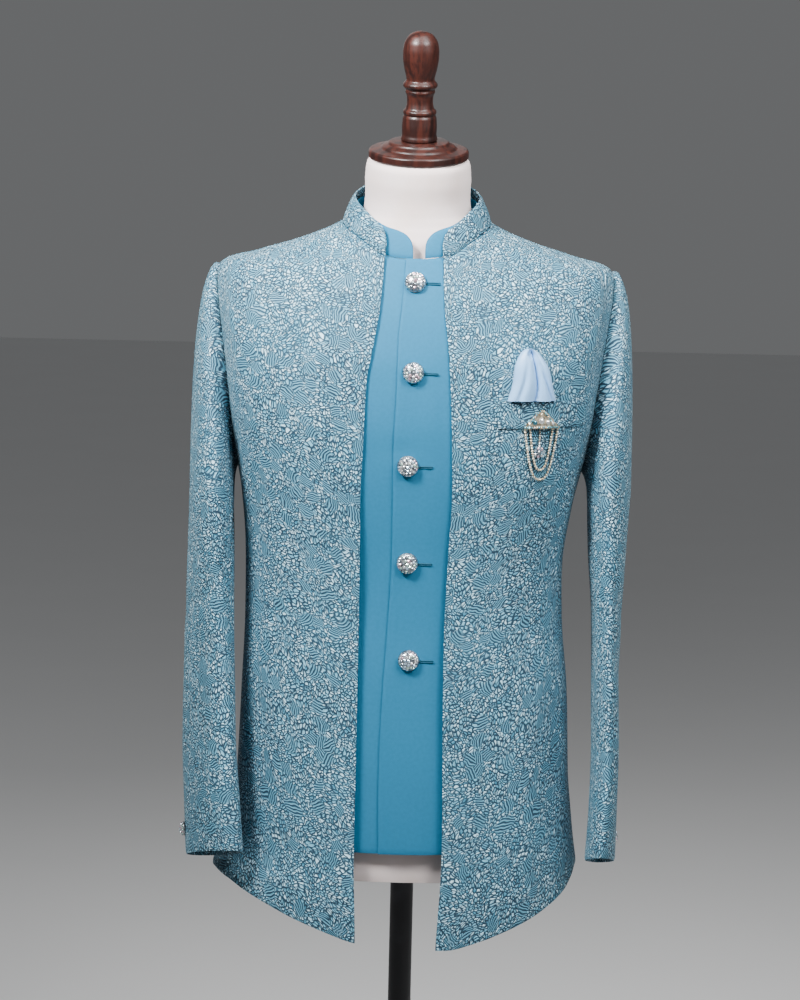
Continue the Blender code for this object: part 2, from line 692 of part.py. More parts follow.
def sleeve_surface(layer, side, sizes):
    """The sleeve by angle and run: 0 at the armhole, 1 under the arm, 2 at the cuff."""
    cuff, arm = sizes["z"][0], sizes["z"][-1]

    def surface(angle, run):
        angle, run = np.broadcast_arrays(np.asarray(angle, float), np.asarray(run, float))
        turn, z = layer.armhole(angle, SEAM_GAP)
        start = layer.points(side * turn, z)
        top = (1 + np.cos(angle)) / 2
        end = sleeve_ring(side, sizes, angle, np.full(angle.shape, arm))
        out = start.copy()
        out[..., 0] += side * CAP_OUT * (0.08 + 0.92 * top)
        out[..., 1] -= CAP_PROUD * np.sin(angle) * (0.3 + 0.7 * top)
        out[..., 2] += CAP_PROUD * top * 0.4
        over = end.copy()
        over[..., 2] += CAP_DROP * (start[..., 2] - end[..., 2])
        t = np.clip(run, -0.01, 1)[..., None]
        cap = (1 - t) ** 3 * start + 3 * t * (1 - t) ** 2 * out
        cap = cap + 3 * t * t * (1 - t) * over + t ** 3 * end
        down = np.maximum(run - 1, 0)
        arm_part = sleeve_ring(side, sizes, angle, arm + (cuff - arm) * np.minimum(down, 1))
        arm_part[..., 2] += (cuff - arm) * np.maximum(down - 1, 0)
        return np.where(run[..., None] <= 1, cap, arm_part)

    return surface


def sleeve_panel(layer, side, sizes, first, last):
    """Outer and inner faces of one sleeve piece between two seams."""
    plain = sleeve_surface(layer, side, sizes)
    count = round((last - first) / SLEEVE_STEP)
    run = np.concatenate((np.linspace(0, 1, CAP_ROWS + 1), np.linspace(1, 2, ARM_ROWS + 1)[1:]))
    angle, run = np.meshgrid(np.radians(np.linspace(first, last, count + 1)), run)
    at = plain(angle, run)
    out = normals(plain, angle, run, 0.002) * side
    raised = fold_height(SLEEVE_FOLDS, angle, at[..., 2], SLEEVE_ARC_RADIUS)
    raised = raised * smoothstep(0.0, 0.35, run) * (1 - smoothstep(1.8, 2.0, run))
    outer = at + out * raised[..., None]
    for end, beside in ((0, 1), (-1, -2)):
        outer[:, end] += unit(outer[:, beside] - outer[:, end]) * SEAM_GAP / 2
    return outer, outer - out * JACKET_WALL


def patch(layer, x, z, lift, thickness):
    """Outer and inner faces of a piece that lies on a layer, given by its front view."""
    turn, level = layer.under_front(x, z, lift)
    return layer.points(turn, level, lift + thickness), layer.points(turn, level, lift)


def material(name, colour, roughness, metallic=0.0):
    """A plain Principled material."""
    made = bpy.data.materials.new(name)
    made.use_nodes = True
    shader = made.node_tree.nodes["Principled BSDF"]
    shader.inputs["Base Color"].default_value = (*colour, 1.0)
    shader.inputs["Roughness"].default_value = roughness
    shader.inputs["Metallic"].default_value = metallic
    return made


def add_mesh(name, vertices, faces, finish, smooth_angle=50):
    """Makes one closed object from points and faces, its faces turned outwards."""
    mesh = bpy.data.meshes.new(name)
    mesh.from_pydata([tuple(point) for point in vertices], [], faces)
    shape = bmesh.new()
    shape.from_mesh(mesh)
    bmesh.ops.recalc_face_normals(shape, faces=shape.faces)
    shape.to_mesh(mesh)
    shape.free()
    mesh.shade_smooth()
    mesh.set_sharp_from_angle(angle=math.radians(smooth_angle))
    mesh.materials.append(finish)
    made = bpy.data.objects.new(name, mesh)
    bpy.data.collections[COLLECTION].objects.link(made)
    return made


def add_wall(name, outer, inner, finish):
    """A closed wall between two grids of points, with a rim all round."""
    rows, columns = outer.shape[:2]
    count = rows * columns
    index = np.arange(count).reshape(rows, columns)
    quads = np.stack([index[:-1, :-1], index[:-1, 1:], index[1:, 1:], index[1:, :-1]], axis=-1)
    quads = quads.reshape(-1, 4)
    rim = np.concatenate([index[0], index[1:, -1], index[-1, -2::-1], index[-2:0:-1, 0]])
    after = np.roll(rim, -1)
    sides = np.stack([after, rim, rim + count, after + count], axis=-1)
    faces = np.concatenate([quads, quads[:, ::-1] + count, sides]).tolist()
    points = np.concatenate([outer.reshape(-1, 3), inner.reshape(-1, 3)])
    return add_mesh(name, points, faces, finish)


def add_turned(name, profile, steps, finish, place):
    """Turns a profile of radius and height about its axis and puts it in place."""
    mesh = bpy.data.meshes.new(name)
    points = [(radius, 0.0, height) for radius, height in profile]
    mesh.from_pydata(points, [(i, i + 1) for i in range(len(points) - 1)], [])
    mesh.materials.append(finish)
    made = bpy.data.objects.new(name, mesh)
    made.matrix_world = place
    bpy.data.collections[COLLECTION].objects.link(made)
    screw = made.modifiers.new("turn", "SCREW")
    screw.steps = screw.render_steps = steps
    screw.use_merge_vertices = True
    screw.merge_threshold = 0.0001
    screw.use_smooth_shade = True
    return made


def add_form(finish):
    """The dress form's torso and neck, whole and closed at both ends."""
    turn = np.linspace(-math.pi, math.pi, FORM_COLUMNS, endpoint=False)
    grid, z = np.meshgrid(turn, np.array(FORM_LEVELS))
    inset = read(FORM_INSET, "inset", z)[..., None]
    at = figure(grid, z) - normals(figure, grid, z, 0.0004) * inset
    rows, columns = grid.shape
    index = np.arange(rows * columns).reshape(rows, columns)
    after = np.roll(index, -1, axis=1)
    sides = np.stack([index[:-1], after[:-1], after[1:], index[1:]], axis=-1).reshape(-1, 4)
    faces = sides.tolist() + [index[0].tolist()[::-1], index[-1].tolist()]
    return add_mesh("form_torso", at.reshape(-1, 3), faces, finish)


def add_tube(name, path, radius, finish):
    """A bead chain's plain core: a closed tube of six sides along a path."""
    along = unit(np.gradient(path, axis=0))
    aside = unit(np.cross(along, np.array([0.0, -1.0, 0.0])))
    ahead = np.cross(along, aside)
    angle = np.linspace(0, 2 * math.pi, 6, endpoint=False)[None, :, None]
    rings = path[:, None] + radius * (np.cos(angle) * aside[:, None] + np.sin(angle) * ahead[:, None])
    index = np.arange(len(path) * 6).reshape(-1, 6)
    after = np.roll(index, -1, axis=1)
    sides = np.stack([index[:-1], after[:-1], after[1:], index[1:]], axis=-1).reshape(-1, 4)
    faces = sides.tolist() + [index[0].tolist()[::-1], index[-1].tolist()]
    return add_mesh(name, rings.reshape(-1, 3), faces, finish)


def facing(at, out):
    """A placement at a point whose local +Z looks outwards."""
    turned = Vector(out).to_track_quat("Z", "Y").to_matrix().to_4x4()
    return Matrix.Translation(Vector(at)) @ turned


def button_profile(radius, height):
    """A button: a domed top, a short upright edge and a flat back."""
    edge = 0.22 * height
    angles = np.radians(np.linspace(90, 10, 5))
    crown = [(radius * math.cos(a), edge + (height - edge) * math.sin(a)) for a in angles]
    crown[0] = (0.0, height)
    return tuple(crown) + ((radius, 0.0007), (radius * 0.94, 0.0), (0.0, 0.0))


def build_jacket(jacket, finish):
    """Fronts, back, collar and sleeves of the jacket."""
    counts = (JACKET_NECK_COLUMNS, JACKET_SHOULDER_COLUMNS, SKIRT_ROWS, YOKE_ROWS)
    tops = {}
    for side, column, name in ((1, "right", "jacket_front_left"), (-1, "left", "jacket_front_right")):
        grid = front_panel(jacket, side, lambda z, c=column: read(JACKET_EDGE, c, z), counts)
        turn, z = grid[..., 0], grid[..., 1]
        outer = jacket.points(turn, z)
        add_wall(name, outer, jacket.points(turn, z, -JACKET_WALL), finish)
        tops[side] = outer[-1, :JACKET_NECK_COLUMNS + 1].copy()
    grid = back_panel(jacket, (JACKET_BACK_NECK_COLUMNS, JACKET_SHOULDER_COLUMNS) + counts[2:])
    turn, z = grid[..., 0], grid[..., 1]
    outer = jacket.points(turn, z)
    add_wall("jacket_back", outer, jacket.points(turn, z, -JACKET_WALL), finish)
    back_top = outer[-1, JACKET_SHOULDER_COLUMNS:-JACKET_SHOULDER_COLUMNS].copy()
    line = foot_line(tops[1], back_top, tops[-1][::-1].copy())
    add_wall("jacket_collar", *collar(line, JACKET_COLLAR, JACKET_NECK, COLLAR_CORNER, JACKET_WALL),
             finish)
    for side, word, sizes in ((1, "left", SLEEVE_LEFT), (-1, "right", SLEEVE_RIGHT)):
        add_wall(f"top_sleeve_{word}", *sleeve_panel(jacket, side, sizes, BACK_SLEEVE_SEAM,
                                                     FRONT_SLEEVE_SEAM), finish)
        add_wall(f"under_sleeve_{word}", *sleeve_panel(jacket, side, sizes, FRONT_SLEEVE_SEAM,
                                                       BACK_SLEEVE_SEAM + 360), finish)


def build_waistcoat(waistcoat, finish):
    """Fronts, back and collar of the inner waistcoat."""
    counts = (WAISTCOAT_NECK_COLUMNS, WAISTCOAT_SHOULDER_COLUMNS,
              WAISTCOAT_SKIRT_ROWS, WAISTCOAT_YOKE_ROWS)
    tops = {}
    for side, column, name in ((1, "lap", "waistcoat_front_left"),
                               (-1, "under", "waistcoat_front_right")):
        grid = front_panel(waistcoat, side, lambda z, c=column: read(PLACKET_EDGE, c, z), counts)
        turn, z = grid[..., 0], grid[..., 1]
        lift = lap_rise(waistcoat, turn, z) if side > 0 else 0.0
        outer = waistcoat.points(turn, z, lift)
        add_wall(name, outer, waistcoat.points(turn, z, lift - WAISTCOAT_WALL), finish)
        tops[side] = outer[-1, :WAISTCOAT_NECK_COLUMNS + 1].copy()
    grid = back_panel(waistcoat, counts)
    turn, z = grid[..., 0], grid[..., 1]
    outer = waistcoat.points(turn, z)
    add_wall("waistcoat_back", outer, waistcoat.points(turn, z, -WAISTCOAT_WALL), finish)
    back_top = outer[-1, WAISTCOAT_SHOULDER_COLUMNS:-WAISTCOAT_SHOULDER_COLUMNS].copy()
    right_end, left_end = WAISTCOAT_COLLAR_ENDS
    line = foot_line(clip_line(tops[1], left_end), back_top,
                     clip_line(tops[-1], right_end)[::-1].copy())
    add_wall("waistcoat_collar", *collar(line, WAISTCOAT_COLLAR, WAISTCOAT_NECK,
                                         WAISTCOAT_COLLAR_CORNER, WAISTCOAT_WALL), finish)


def build_buttons(waistcoat, finish):
    """Five domed buttons down the waistcoat and one at each cuff."""
    profile = button_profile(BUTTON_RADIUS, BUTTON_HEIGHT)
    for number, (x, z) in enumerate(zip(BUTTONS["x"], BUTTONS["z"]), 1):
        turn, level = waistcoat.under_front(x, z, LAP_RISE)
        out = normals(waistcoat.points, turn, level)
        at = waistcoat.points(turn, level, LAP_RISE) + out * BUTTON_SEAT
        add_turned(f"waistcoat_button_{number}", profile, BUTTON_STEPS, finish, facing(at, out))


def build_cuff_buttons(jacket, finish):
    """One smaller button at each cuff, behind the outer side."""
    profile = button_profile(CUFF_BUTTON_RADIUS, CUFF_BUTTON_HEIGHT)
    for side, word, sizes in ((1, "left", SLEEVE_LEFT), (-1, "right", SLEEVE_RIGHT)):
        plain = sleeve_surface(jacket, side, sizes)
        angle = math.radians(CUFF_BUTTON_ANGLE)
        run = 2 - CUFF_BUTTON_RISE / (sizes["z"][-1] - sizes["z"][0])
        out = normals(plain, angle, run, 0.002) * side
        at = plain(angle, run) + out * CUFF_BUTTON_SEAT
        add_turned(f"cuff_button_{word}", profile, BUTTON_STEPS, finish, facing(at, out))


def build_pocket(jacket, cloth, silk):
    """The welt, and the folded square that stands out of the pocket above it."""
    across, up = np.meshgrid(np.linspace(0, 1, 13), np.linspace(0, 1, 4))
    x = WELT["left"] + (WELT["right"] - WELT["left"]) * across
    z = WELT["bottom"] + (WELT["top"] - WELT["bottom"]) * up
    add_wall("chest_welt", *patch(jacket, x, z, PANEL_SEAT, WELT["thickness"]), cloth)

    across, up = np.meshgrid(np.linspace(-1, 1, 13), np.linspace(0, 1, 6))
    middle = (SQUARE["left"] + SQUARE["right"]) / 2
    half = (SQUARE["right"] - SQUARE["left"]) / 2
    x = middle + half * across * (1 - 0.42 * up ** 1.5)
    top = 1 - 0.42 * np.abs(across) ** 2.4 - 0.10 * np.exp(-(across / 0.16) ** 2)
    z = SQUARE["bottom"] + (SQUARE["top"] - SQUARE["bottom"]) * up * top
    puff = (1 - across ** 2) ** 0.5 * (0.45 + 0.55 * np.sin(math.pi * (0.25 + 0.6 * up)))
    fold = np.exp(-((across - 0.05) / 0.13) ** 2) * 0.62 + np.exp(-((across + 0.62) / 0.12) ** 2) * 0.3
    thick = 0.0010 + SQUARE["thickness"] * puff * (1 - fold)
    add_wall("pocket_square", *patch(jacket, x, z, PANEL_SEAT, thick), silk)


def build_brooch(jacket, finish):
    """A pointed plate on a bar, with a drop and two swagged chains beneath."""
    lift = PANEL_SEAT + WELT["thickness"] + 2 * SEAT_GAP
    across, up = np.meshgrid(np.linspace(-1, 1, 9), np.array([0, 0.14, 0.17, 0.35, 0.55, 0.75, 0.9, 1]))
    tall = BROOCH["top"] - BROOCH["bottom"]
    taper = BROOCH["half_plate"] * (1 - (up - 0.14) / 0.86) ** 0.8 + 0.0008
    half = np.where(up < 0.15, BROOCH["half_bar"], taper)
    x = BROOCH["middle"] + half * across
    z = BROOCH["bottom"] + tall * up
    thick = BROOCH_THICKNESS * (1 - 0.45 * np.abs(across) ** 3)
    add_wall("brooch_plate", *patch(jacket, x, z, lift, thick), finish)
    for number, (span, top, lowest) in enumerate(zip(*CHAINS.values()), 1):
        t = np.linspace(-1, 1, 15)
        x = BROOCH["middle"] + span * np.sign(t) * np.abs(t) ** 0.75
        z = lowest + (top - lowest) * np.abs(t) ** 2.0
        turn, level = jacket.under_front(x, z, CHAIN_RADIUS + PANEL_SEAT)
        path = jacket.points(turn, level, CHAIN_RADIUS + PANEL_SEAT)
        add_tube(f"brooch_chain_{number}", path, CHAIN_RADIUS, finish)
    across, up = np.meshgrid(np.linspace(-1, 1, 5), np.array([0, 0.1, 0.25, 0.42, 0.55, 1.0]))
    tall = DROP["top"] - DROP["bottom"]
    half = np.interp(up, [0, 0.1, 0.25, 0.42, 0.55, 1], DROP_OUTLINE) * DROP["half_width"]
    x = DROP["x"] + half * across
    z = DROP["bottom"] + tall * up
    thick = DROP["thickness"] * (0.45 + 0.55 * half / DROP["half_width"]) * (1 - 0.4 * across ** 2)
    add_wall("brooch_drop", *patch(jacket, x, z, PANEL_SEAT, thick), finish)


def build_stand(wood, metal):
    """The turned cap and finial on the neck, and the pole and base below the form."""
    neck = Matrix.Translation((0.0, FIGURE["centre_y"][-1], NECK_TOP))
    tilt = neck @ Matrix.Rotation(math.radians(FIGURE["tilt"][-1]), 4, "X")
    cap_height = CAP_PROFILE[0][1]
    add_turned("neck_cap", CAP_PROFILE, TURNED_STEPS, wood,
               tilt @ Matrix.Translation((0, 0, SEAT_GAP)))
    add_turned("finial", FINIAL_PROFILE, FINIAL_STEPS, wood,
               tilt @ Matrix.Translation((0, 0, 2 * SEAT_GAP + cap_height)))
    pole = ((0.0, FORM_BOTTOM - SEAT_GAP), (POLE_RADIUS, FORM_BOTTOM - SEAT_GAP),
            (POLE_RADIUS, BOSS_HEIGHT + SEAT_GAP), (0.0, BOSS_HEIGHT + SEAT_GAP))
    add_turned("stand_pole", pole, TURNED_STEPS, metal, Matrix.Identity(4))
    base = ((0.0, BOSS_HEIGHT), (BOSS_RADIUS - 0.002, BOSS_HEIGHT), (BOSS_RADIUS, BOSS_HEIGHT - 0.002),
            (BOSS_RADIUS, BASE_HEIGHT + 0.003), (BOSS_RADIUS + 0.003, BASE_HEIGHT),
            (BASE_RADIUS - 0.006, BASE_HEIGHT - 0.004), (BASE_RADIUS - 0.001, BASE_HEIGHT - 0.007),
            (BASE_RADIUS, BASE_HEIGHT - 0.010), (BASE_RADIUS, 0.0), (0.0, 0.0))
    add_turned("stand_base", base, BASE_STEPS, metal, Matrix.Identity(4))


def main():
    """Clears the scene and builds every piece."""
    for old in list(bpy.data.objects):
        bpy.data.objects.remove(old)
    group = bpy.data.collections.new(COLLECTION)
    bpy.context.scene.collection.children.link(group)
    jacket = Layer(JACKET_EASE, JACKET_FOLDS, JACKET_NECK, JACKET_ARMHOLE, jacket_hem)
    waistcoat = Layer(WAISTCOAT_EASE, None, WAISTCOAT_NECK, WAISTCOAT_ARMHOLE, waistcoat_hem)
    textured = material("textured_jacket_cloth", (0.22, 0.45, 0.54), 0.6)
    suiting = material("teal_suiting", (0.06, 0.27, 0.36), 0.7)
    silk = material("pale_blue_silk", (0.40, 0.60, 0.75), 0.4)
    crystal = material("crystal_and_silver", (0.80, 0.82, 0.84), 0.2, 0.8)
    cream = material("cream_form_cover", (0.76, 0.68, 0.64), 0.8)
    wood = material("dark_stained_wood", (0.10, 0.035, 0.025), 0.35)
    metal = material("black_stand_metal", (0.02, 0.02, 0.022), 0.4, 0.6)
    build_jacket(jacket, textured)
    build_pocket(jacket, textured, silk)
    build_brooch(jacket, crystal)
    build_cuff_buttons(jacket, crystal)
    build_waistcoat(waistcoat, suiting)
    build_buttons(waistcoat, crystal)
    add_form(cream)
    build_stand(wood, metal)


main()
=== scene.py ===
"""The finished looks of a bandhgala jacket over its waistcoat, on a limbless dress form.

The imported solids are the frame. Every layer of cloth is the form's surface moved out by the
layer's ease, as in the solids, drawn finer here with its small folds, turned edges and weave.
"""

import logging
import math
from dataclasses import dataclass, field
from typing import Callable, Sequence

import bpy
import numpy as np
from mathutils import Matrix


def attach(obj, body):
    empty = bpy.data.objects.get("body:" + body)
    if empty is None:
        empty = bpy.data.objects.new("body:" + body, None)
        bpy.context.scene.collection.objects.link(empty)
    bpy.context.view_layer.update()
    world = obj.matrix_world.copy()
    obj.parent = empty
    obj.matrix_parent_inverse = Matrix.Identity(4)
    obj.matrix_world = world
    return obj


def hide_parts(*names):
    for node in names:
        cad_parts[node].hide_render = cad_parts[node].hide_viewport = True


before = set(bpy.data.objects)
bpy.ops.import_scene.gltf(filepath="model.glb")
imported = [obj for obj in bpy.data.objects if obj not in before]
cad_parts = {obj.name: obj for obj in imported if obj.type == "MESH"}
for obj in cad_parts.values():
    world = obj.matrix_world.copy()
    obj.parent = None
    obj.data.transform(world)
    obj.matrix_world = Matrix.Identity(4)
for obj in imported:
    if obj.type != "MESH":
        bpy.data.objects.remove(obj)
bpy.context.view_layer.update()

LOG = logging.getLogger("bandhgala")
Array = np.ndarray
Columns = dict[str, Array]
Colour = tuple[float, float, float]
Material = bpy.types.Material


def table(columns: str, *rows: Sequence[float]) -> Columns:
    """Turn rows of numbers into one array for each named column.

    Args:
        columns: the columns' names, the first of which the others are read by.
        rows: one row of numbers for each section, fold or button.

    Returns:
        The columns by name.
    """
    return dict(zip(columns.split(), np.array(rows, float).T))


# Cloth walls and the clearances between pieces
JACKET_WALL = 0.0020
WAISTCOAT_WALL = 0.0015
SEAM_GAP = 0.0004
SIDE_GAP = 0.0018
SHOULDER_GAP = 0.0025
COLLAR_GAP = 0.0005
SEAT_GAP = 0.0003
PANEL_SEAT = 0.0009
LAP_GAP = 0.0013
LAP_RISE = WAISTCOAT_WALL + LAP_GAP

# The form: horizontal sections from its underside to the top of the neck, with the first one
# carrying the form's lines down under it for the skirts of the jacket
FORM_BOTTOM = 0.754
NECK_TOP = 1.5175
FIGURE = table(
    "z half_width front back centre_y squareness tilt",
    (0.640, 0.1700, 0.1120, 0.1300, 0.000, 2.30, 0),
    (0.754, 0.1670, 0.1080, 0.1250, 0.000, 2.30, 0),
    (0.860, 0.1630, 0.1030, 0.1160, 0.000, 2.30, 0),
    (0.950, 0.1570, 0.0980, 0.1040, 0.000, 2.30, 0),
    (1.030, 0.1510, 0.0960, 0.0980, 0.000, 2.30, 0),
    (1.090, 0.1550, 0.1000, 0.1010, 0.000, 2.35, 0),
    (1.150, 0.1660, 0.1080, 0.1100, 0.000, 2.50, 0),
    (1.200, 0.1790, 0.1140, 0.1180, 0.000, 2.65, 0),
    (1.250, 0.1900, 0.1170, 0.1230, 0.000, 2.80, 0),
    (1.300, 0.1990, 0.1150, 0.1240, 0.000, 2.80, 0),
    (1.345, 0.2050, 0.1070, 0.1180, 0.000, 2.70, 0),
    (1.375, 0.2075, 0.0980, 0.1090, 0.000, 2.50, 0),
    (1.392, 0.2065, 0.0915, 0.1020, 0.000, 2.35, 0),
    (1.3990, 0.2035, 0.0885, 0.0985, 0.000, 2.25, 0),
    (1.4040, 0.1940, 0.0862, 0.0960, 0.000, 2.20, 0),
    (1.4088, 0.1735, 0.0840, 0.0935, 0.000, 2.15, 0),
    (1.4148, 0.1540, 0.0810, 0.0900, 0.000, 2.10, 0),
    (1.4220, 0.1300, 0.0775, 0.0850, 0.000, 2.10, 0),
    (1.4297, 0.1090, 0.0740, 0.0800, 0.000, 2.10, 0),
    (1.4370, 0.0915, 0.0700, 0.0750, 0.000, 2.10, 0),
    (1.4446, 0.0775, 0.0665, 0.0700, 0.000, 2.10, 0),
    (1.4520, 0.0675, 0.0620, 0.0640, -0.002, 2.10, 1),
    (1.4620, 0.0605, 0.0585, 0.0585, -0.004, 2.05, 3),
    (1.4800, 0.0575, 0.0565, 0.0560, -0.006, 2.00, 7),
    (1.5175, 0.0550, 0.0550, 0.0550, -0.011, 2.00, 10),
)

# Ease: how far a layer's outer face stands off the form, in front, at each side and behind
JACKET_EASE = table(
    "z front left right back",
    (0.640, 0.0230, 0.0480, 0.0280, 0.0200),
    (0.750, 0.0212, 0.0395, 0.0232, 0.0200),
    (0.766, 0.0208, 0.0270, 0.0214, 0.0200),
    (0.785, 0.0204, 0.0200, 0.0192, 0.0200),
    (0.810, 0.0198, 0.0190, 0.0172, 0.0200),
    (0.860, 0.0190, 0.0188, 0.0145, 0.0200),
    (0.950, 0.0175, 0.0215, 0.0165, 0.0190),
    (1.030, 0.0150, 0.0250, 0.0150, 0.0160),
    (1.090, 0.0120, 0.0215, 0.0100, 0.0140),
    (1.150, 0.0090, 0.0145, 0.0075, 0.0120),
    (1.200, 0.0070, 0.0095, 0.0058, 0.0090),
    (1.250, 0.0060, 0.0080, 0.0056, 0.0075),
    (1.300, 0.0056, 0.0070, 0.0055, 0.0065),
    (1.375, 0.0055, 0.0058, 0.0055, 0.0058),
    (1.400, 0.0055, 0.0055, 0.0055, 0.0055),
    (1.480, 0.0055, 0.0055, 0.0055, 0.0055),
)
WAISTCOAT_EASE = table(
    "z front left right back",
    (0.640, 0.0100, 0.0070, 0.0070, 0.0080),
    (0.780, 0.0100, 0.0070, 0.0070, 0.0080),
    (0.860, 0.0090, 0.0060, 0.0060, 0.0080),
    (0.950, 0.0080, 0.0065, 0.0065, 0.0070),
    (1.030, 0.0065, 0.0060, 0.0060, 0.0050),
    (1.090, 0.0045, 0.0040, 0.0040, 0.0040),
    (1.150, 0.0030, 0.0025, 0.0025, 0.0028),
    (1.200, 0.0022, 0.0016, 0.0016, 0.0016),
    (1.300, 0.0018, -0.0010, -0.0010, -0.0010),
    (1.370, 0.0014, -0.0032, -0.0032, -0.0032),
    (1.415, 0.0012, -0.0026, -0.0026, -0.0026),
    (1.435, 0.0012, -0.0008, -0.0008, -0.0004),
    (1.450, 0.0012, 0.0006, 0.0006, 0.0008),
    (1.480, 0.0012, 0.0010, 0.0010, 0.0012),
)

# How far the form itself lies in from those lines under the cloth
FORM_INSET = table(
    "z inset",
    (0.754, 0.0020),
    (0.810, 0.0045),
    (1.260, 0.0050),
    (1.350, 0.0130),
    (1.415, 0.0130),
    (1.437, 0.0065),
    (1.455, 0.0035),
    (1.475, 0.0022),
    (1.495, 0.0000),
)

# The largest soft folds of the jacket's body: where, how they lean, and how deep they are
FOLD_ARC_RADIUS = 0.150
JACKET_FOLDS = table(
    "turn z lean length width depth",
    (-64, 1.120, 8, 0.090, 0.018, -0.0030),
    (-40, 0.830, -4, 0.110, 0.026, 0.0030),
    (-27, 0.900, 2, 0.120, 0.020, -0.0022),
    (62, 1.100, -10, 0.080, 0.018, -0.0024),
    (44, 0.820, 5, 0.110, 0.024, 0.0030),
    (28, 0.880, 0, 0.120, 0.022, -0.0020),
    (118, 1.180, -24, 0.080, 0.020, -0.0030),
    (-118, 1.180, 24, 0.080, 0.020, -0.0030),
    (150, 0.860, 6, 0.120, 0.028, 0.0035),
    (-146, 0.840, -5, 0.120, 0.026, 0.0035),
    (176, 0.900, 2, 0.130, 0.026, -0.0030),
)

# Hems: height of the lower edge round the body, measured from the centre front
HEM = table(
    "turn z",
    (-180, 0.741),
    (-150, 0.741),
    (-120, 0.742),
    (-92, 0.744),
    (-78, 0.748),
    (-65, 0.745),
    (-55, 0.737),
    (-45, 0.727),
    (-35, 0.715),
    (-25, 0.7035),
    (-15, 0.694),
    (15, 0.688),
    (25, 0.695),
    (35, 0.7055),
    (45, 0.717),
    (55, 0.729),
    (65, 0.741),
    (72, 0.751),
    (80, 0.758),
    (92, 0.756),
    (120, 0.748),
    (150, 0.742),
    (180, 0.741),
)
WAISTCOAT_HEM = 0.788

# Front edges as seen from the front: how far each stands from the middle at each height
JACKET_EDGE = table(
    "z left right",
    (0.640, -0.0485, 0.0345),
    (0.698, -0.0490, 0.0370),
    (0.790, -0.0520, 0.0410),
    (0.924, -0.0520, 0.0390),
    (1.015, -0.0520, 0.0380),
    (1.110, -0.0525, 0.0405),
    (1.168, -0.0532, 0.0428),
    (1.222, -0.0512, 0.0415),
    (1.290, -0.0490, 0.0380),
    (1.323, -0.0435, 0.0355),
    (1.372, -0.0362, 0.0300),
    (1.425, -0.0324, 0.0275),
)
PLACKET_EDGE = table(
    "z lap under",
    (0.640, -0.0260, 0.0120),
    (0.787, -0.0262, 0.0120),
    (0.867, -0.0274, 0.0120),
    (0.960, -0.0252, 0.0120),
    (1.013, -0.0222, 0.0120),
    (1.113, -0.0185, 0.0120),
    (1.220, -0.0194, 0.0120),
    (1.273, -0.0177, 0.0120),
    (1.340, -0.0163, 0.0120),
    (1.369, -0.0135, 0.0120),
    (1.412, -0.0107, 0.0120),
)
LAP_FLAT_TO = 0.016
LAP_FADES_BY = 0.046

# Necklines as ovals seen from above
JACKET_NECK = dict(centre_y=-0.0100, half_width=0.0790, front=0.0800, back=0.0720, squareness=2.2)
WAISTCOAT_NECK = dict(centre_y=-0.0100, half_width=0.0742, front=0.0724, back=0.0668,
                      squareness=2.5)
NECK_RANGE = (1.400, 1.470)
OUTLINE_RANGE = (1.100, 1.470)

# Armholes: an upright oval on the side of each layer
SIDE_SEAM = math.radians(94)
JACKET_ARMHOLE = dict(top=1.3985, bottom=1.1865, front=math.radians(25), back=math.radians(25))
WAISTCOAT_ARMHOLE = dict(top=1.4060, bottom=1.1650, front=math.radians(33), back=math.radians(33))
HOLE_ARC_RADIUS = 0.12

# Collars: the stand's height and inward lean from the front end round to the centre back
JACKET_COLLAR = table(
    "share height lean",
    (0.00, 0.0270, 12),
    (0.20, 0.0290, 16),
    (0.50, 0.0320, 23),
    (0.80, 0.0360, 16),
    (1.00, 0.0370, 8),
)
WAISTCOAT_COLLAR = table(
    "share height lean",
    (0.00, 0.0300, 17),
    (0.20, 0.0290, 19),
    (0.50, 0.0260, 24),
    (0.80, 0.0280, 17),
    (1.00, 0.0290, 12),
)
COLLAR_ROWS = 12
COLLAR_BOW = 0.0010
COLLAR_ROUNDNESS = 2.4
COLLAR_END_STEPS = (0, 0.015, 0.04, 0.08, 0.14, 0.22, 0.32, 0.44, 0.58, 0.74, 0.9)
COLLAR_CORNER = 0.011
WAISTCOAT_COLLAR_CORNER = 0.025
WAISTCOAT_COLLAR_ENDS = (-0.0036, 0.0089)

# Sleeves: rings from the first one under the arm to the cuff. "out" and "y" place a ring's
# centre, "lean" lifts its front edge, "yaw" turns its front edge inwards
SLEEVE_LEFT = table(
    "z out y lean yaw thin deep",
    (0.774, 0.2112, -0.0660, 16, 2, 0.0163, 0.0640),
    (0.830, 0.2137, -0.0520, 15, 1, 0.0150, 0.0680),
    (0.890, 0.2150, -0.0360, 14, 0, 0.0145, 0.0720),
    (0.950, 0.2140, -0.0220, 11, 0, 0.0145, 0.0760),
    (1.030, 0.2137, -0.0090, 5, 0, 0.0160, 0.0790),
    (1.100, 0.2125, -0.0050, 1, 1, 0.0205, 0.0800),
    (1.160, 0.2128, -0.0040, 0, 3, 0.0240, 0.0805),
)
SLEEVE_RIGHT = table(
    "z out y lean yaw thin deep",
    (0.774, 0.2018, -0.0720, 17, 24, 0.0240, 0.0590),
    (0.830, 0.2062, -0.0580, 16, 22, 0.0230, 0.0630),
    (0.890, 0.2110, -0.0400, 15, 20, 0.0222, 0.0665),
    (0.950, 0.2128, -0.0240, 11, 17, 0.0228, 0.0700),
    (1.030, 0.2140, -0.0100, 5, 12, 0.0240, 0.0740),
    (1.100, 0.2138, -0.0050, 1, 8, 0.0244, 0.0775),
    (1.160, 0.2140, -0.0040, 0, 5, 0.0242, 0.0800),
)
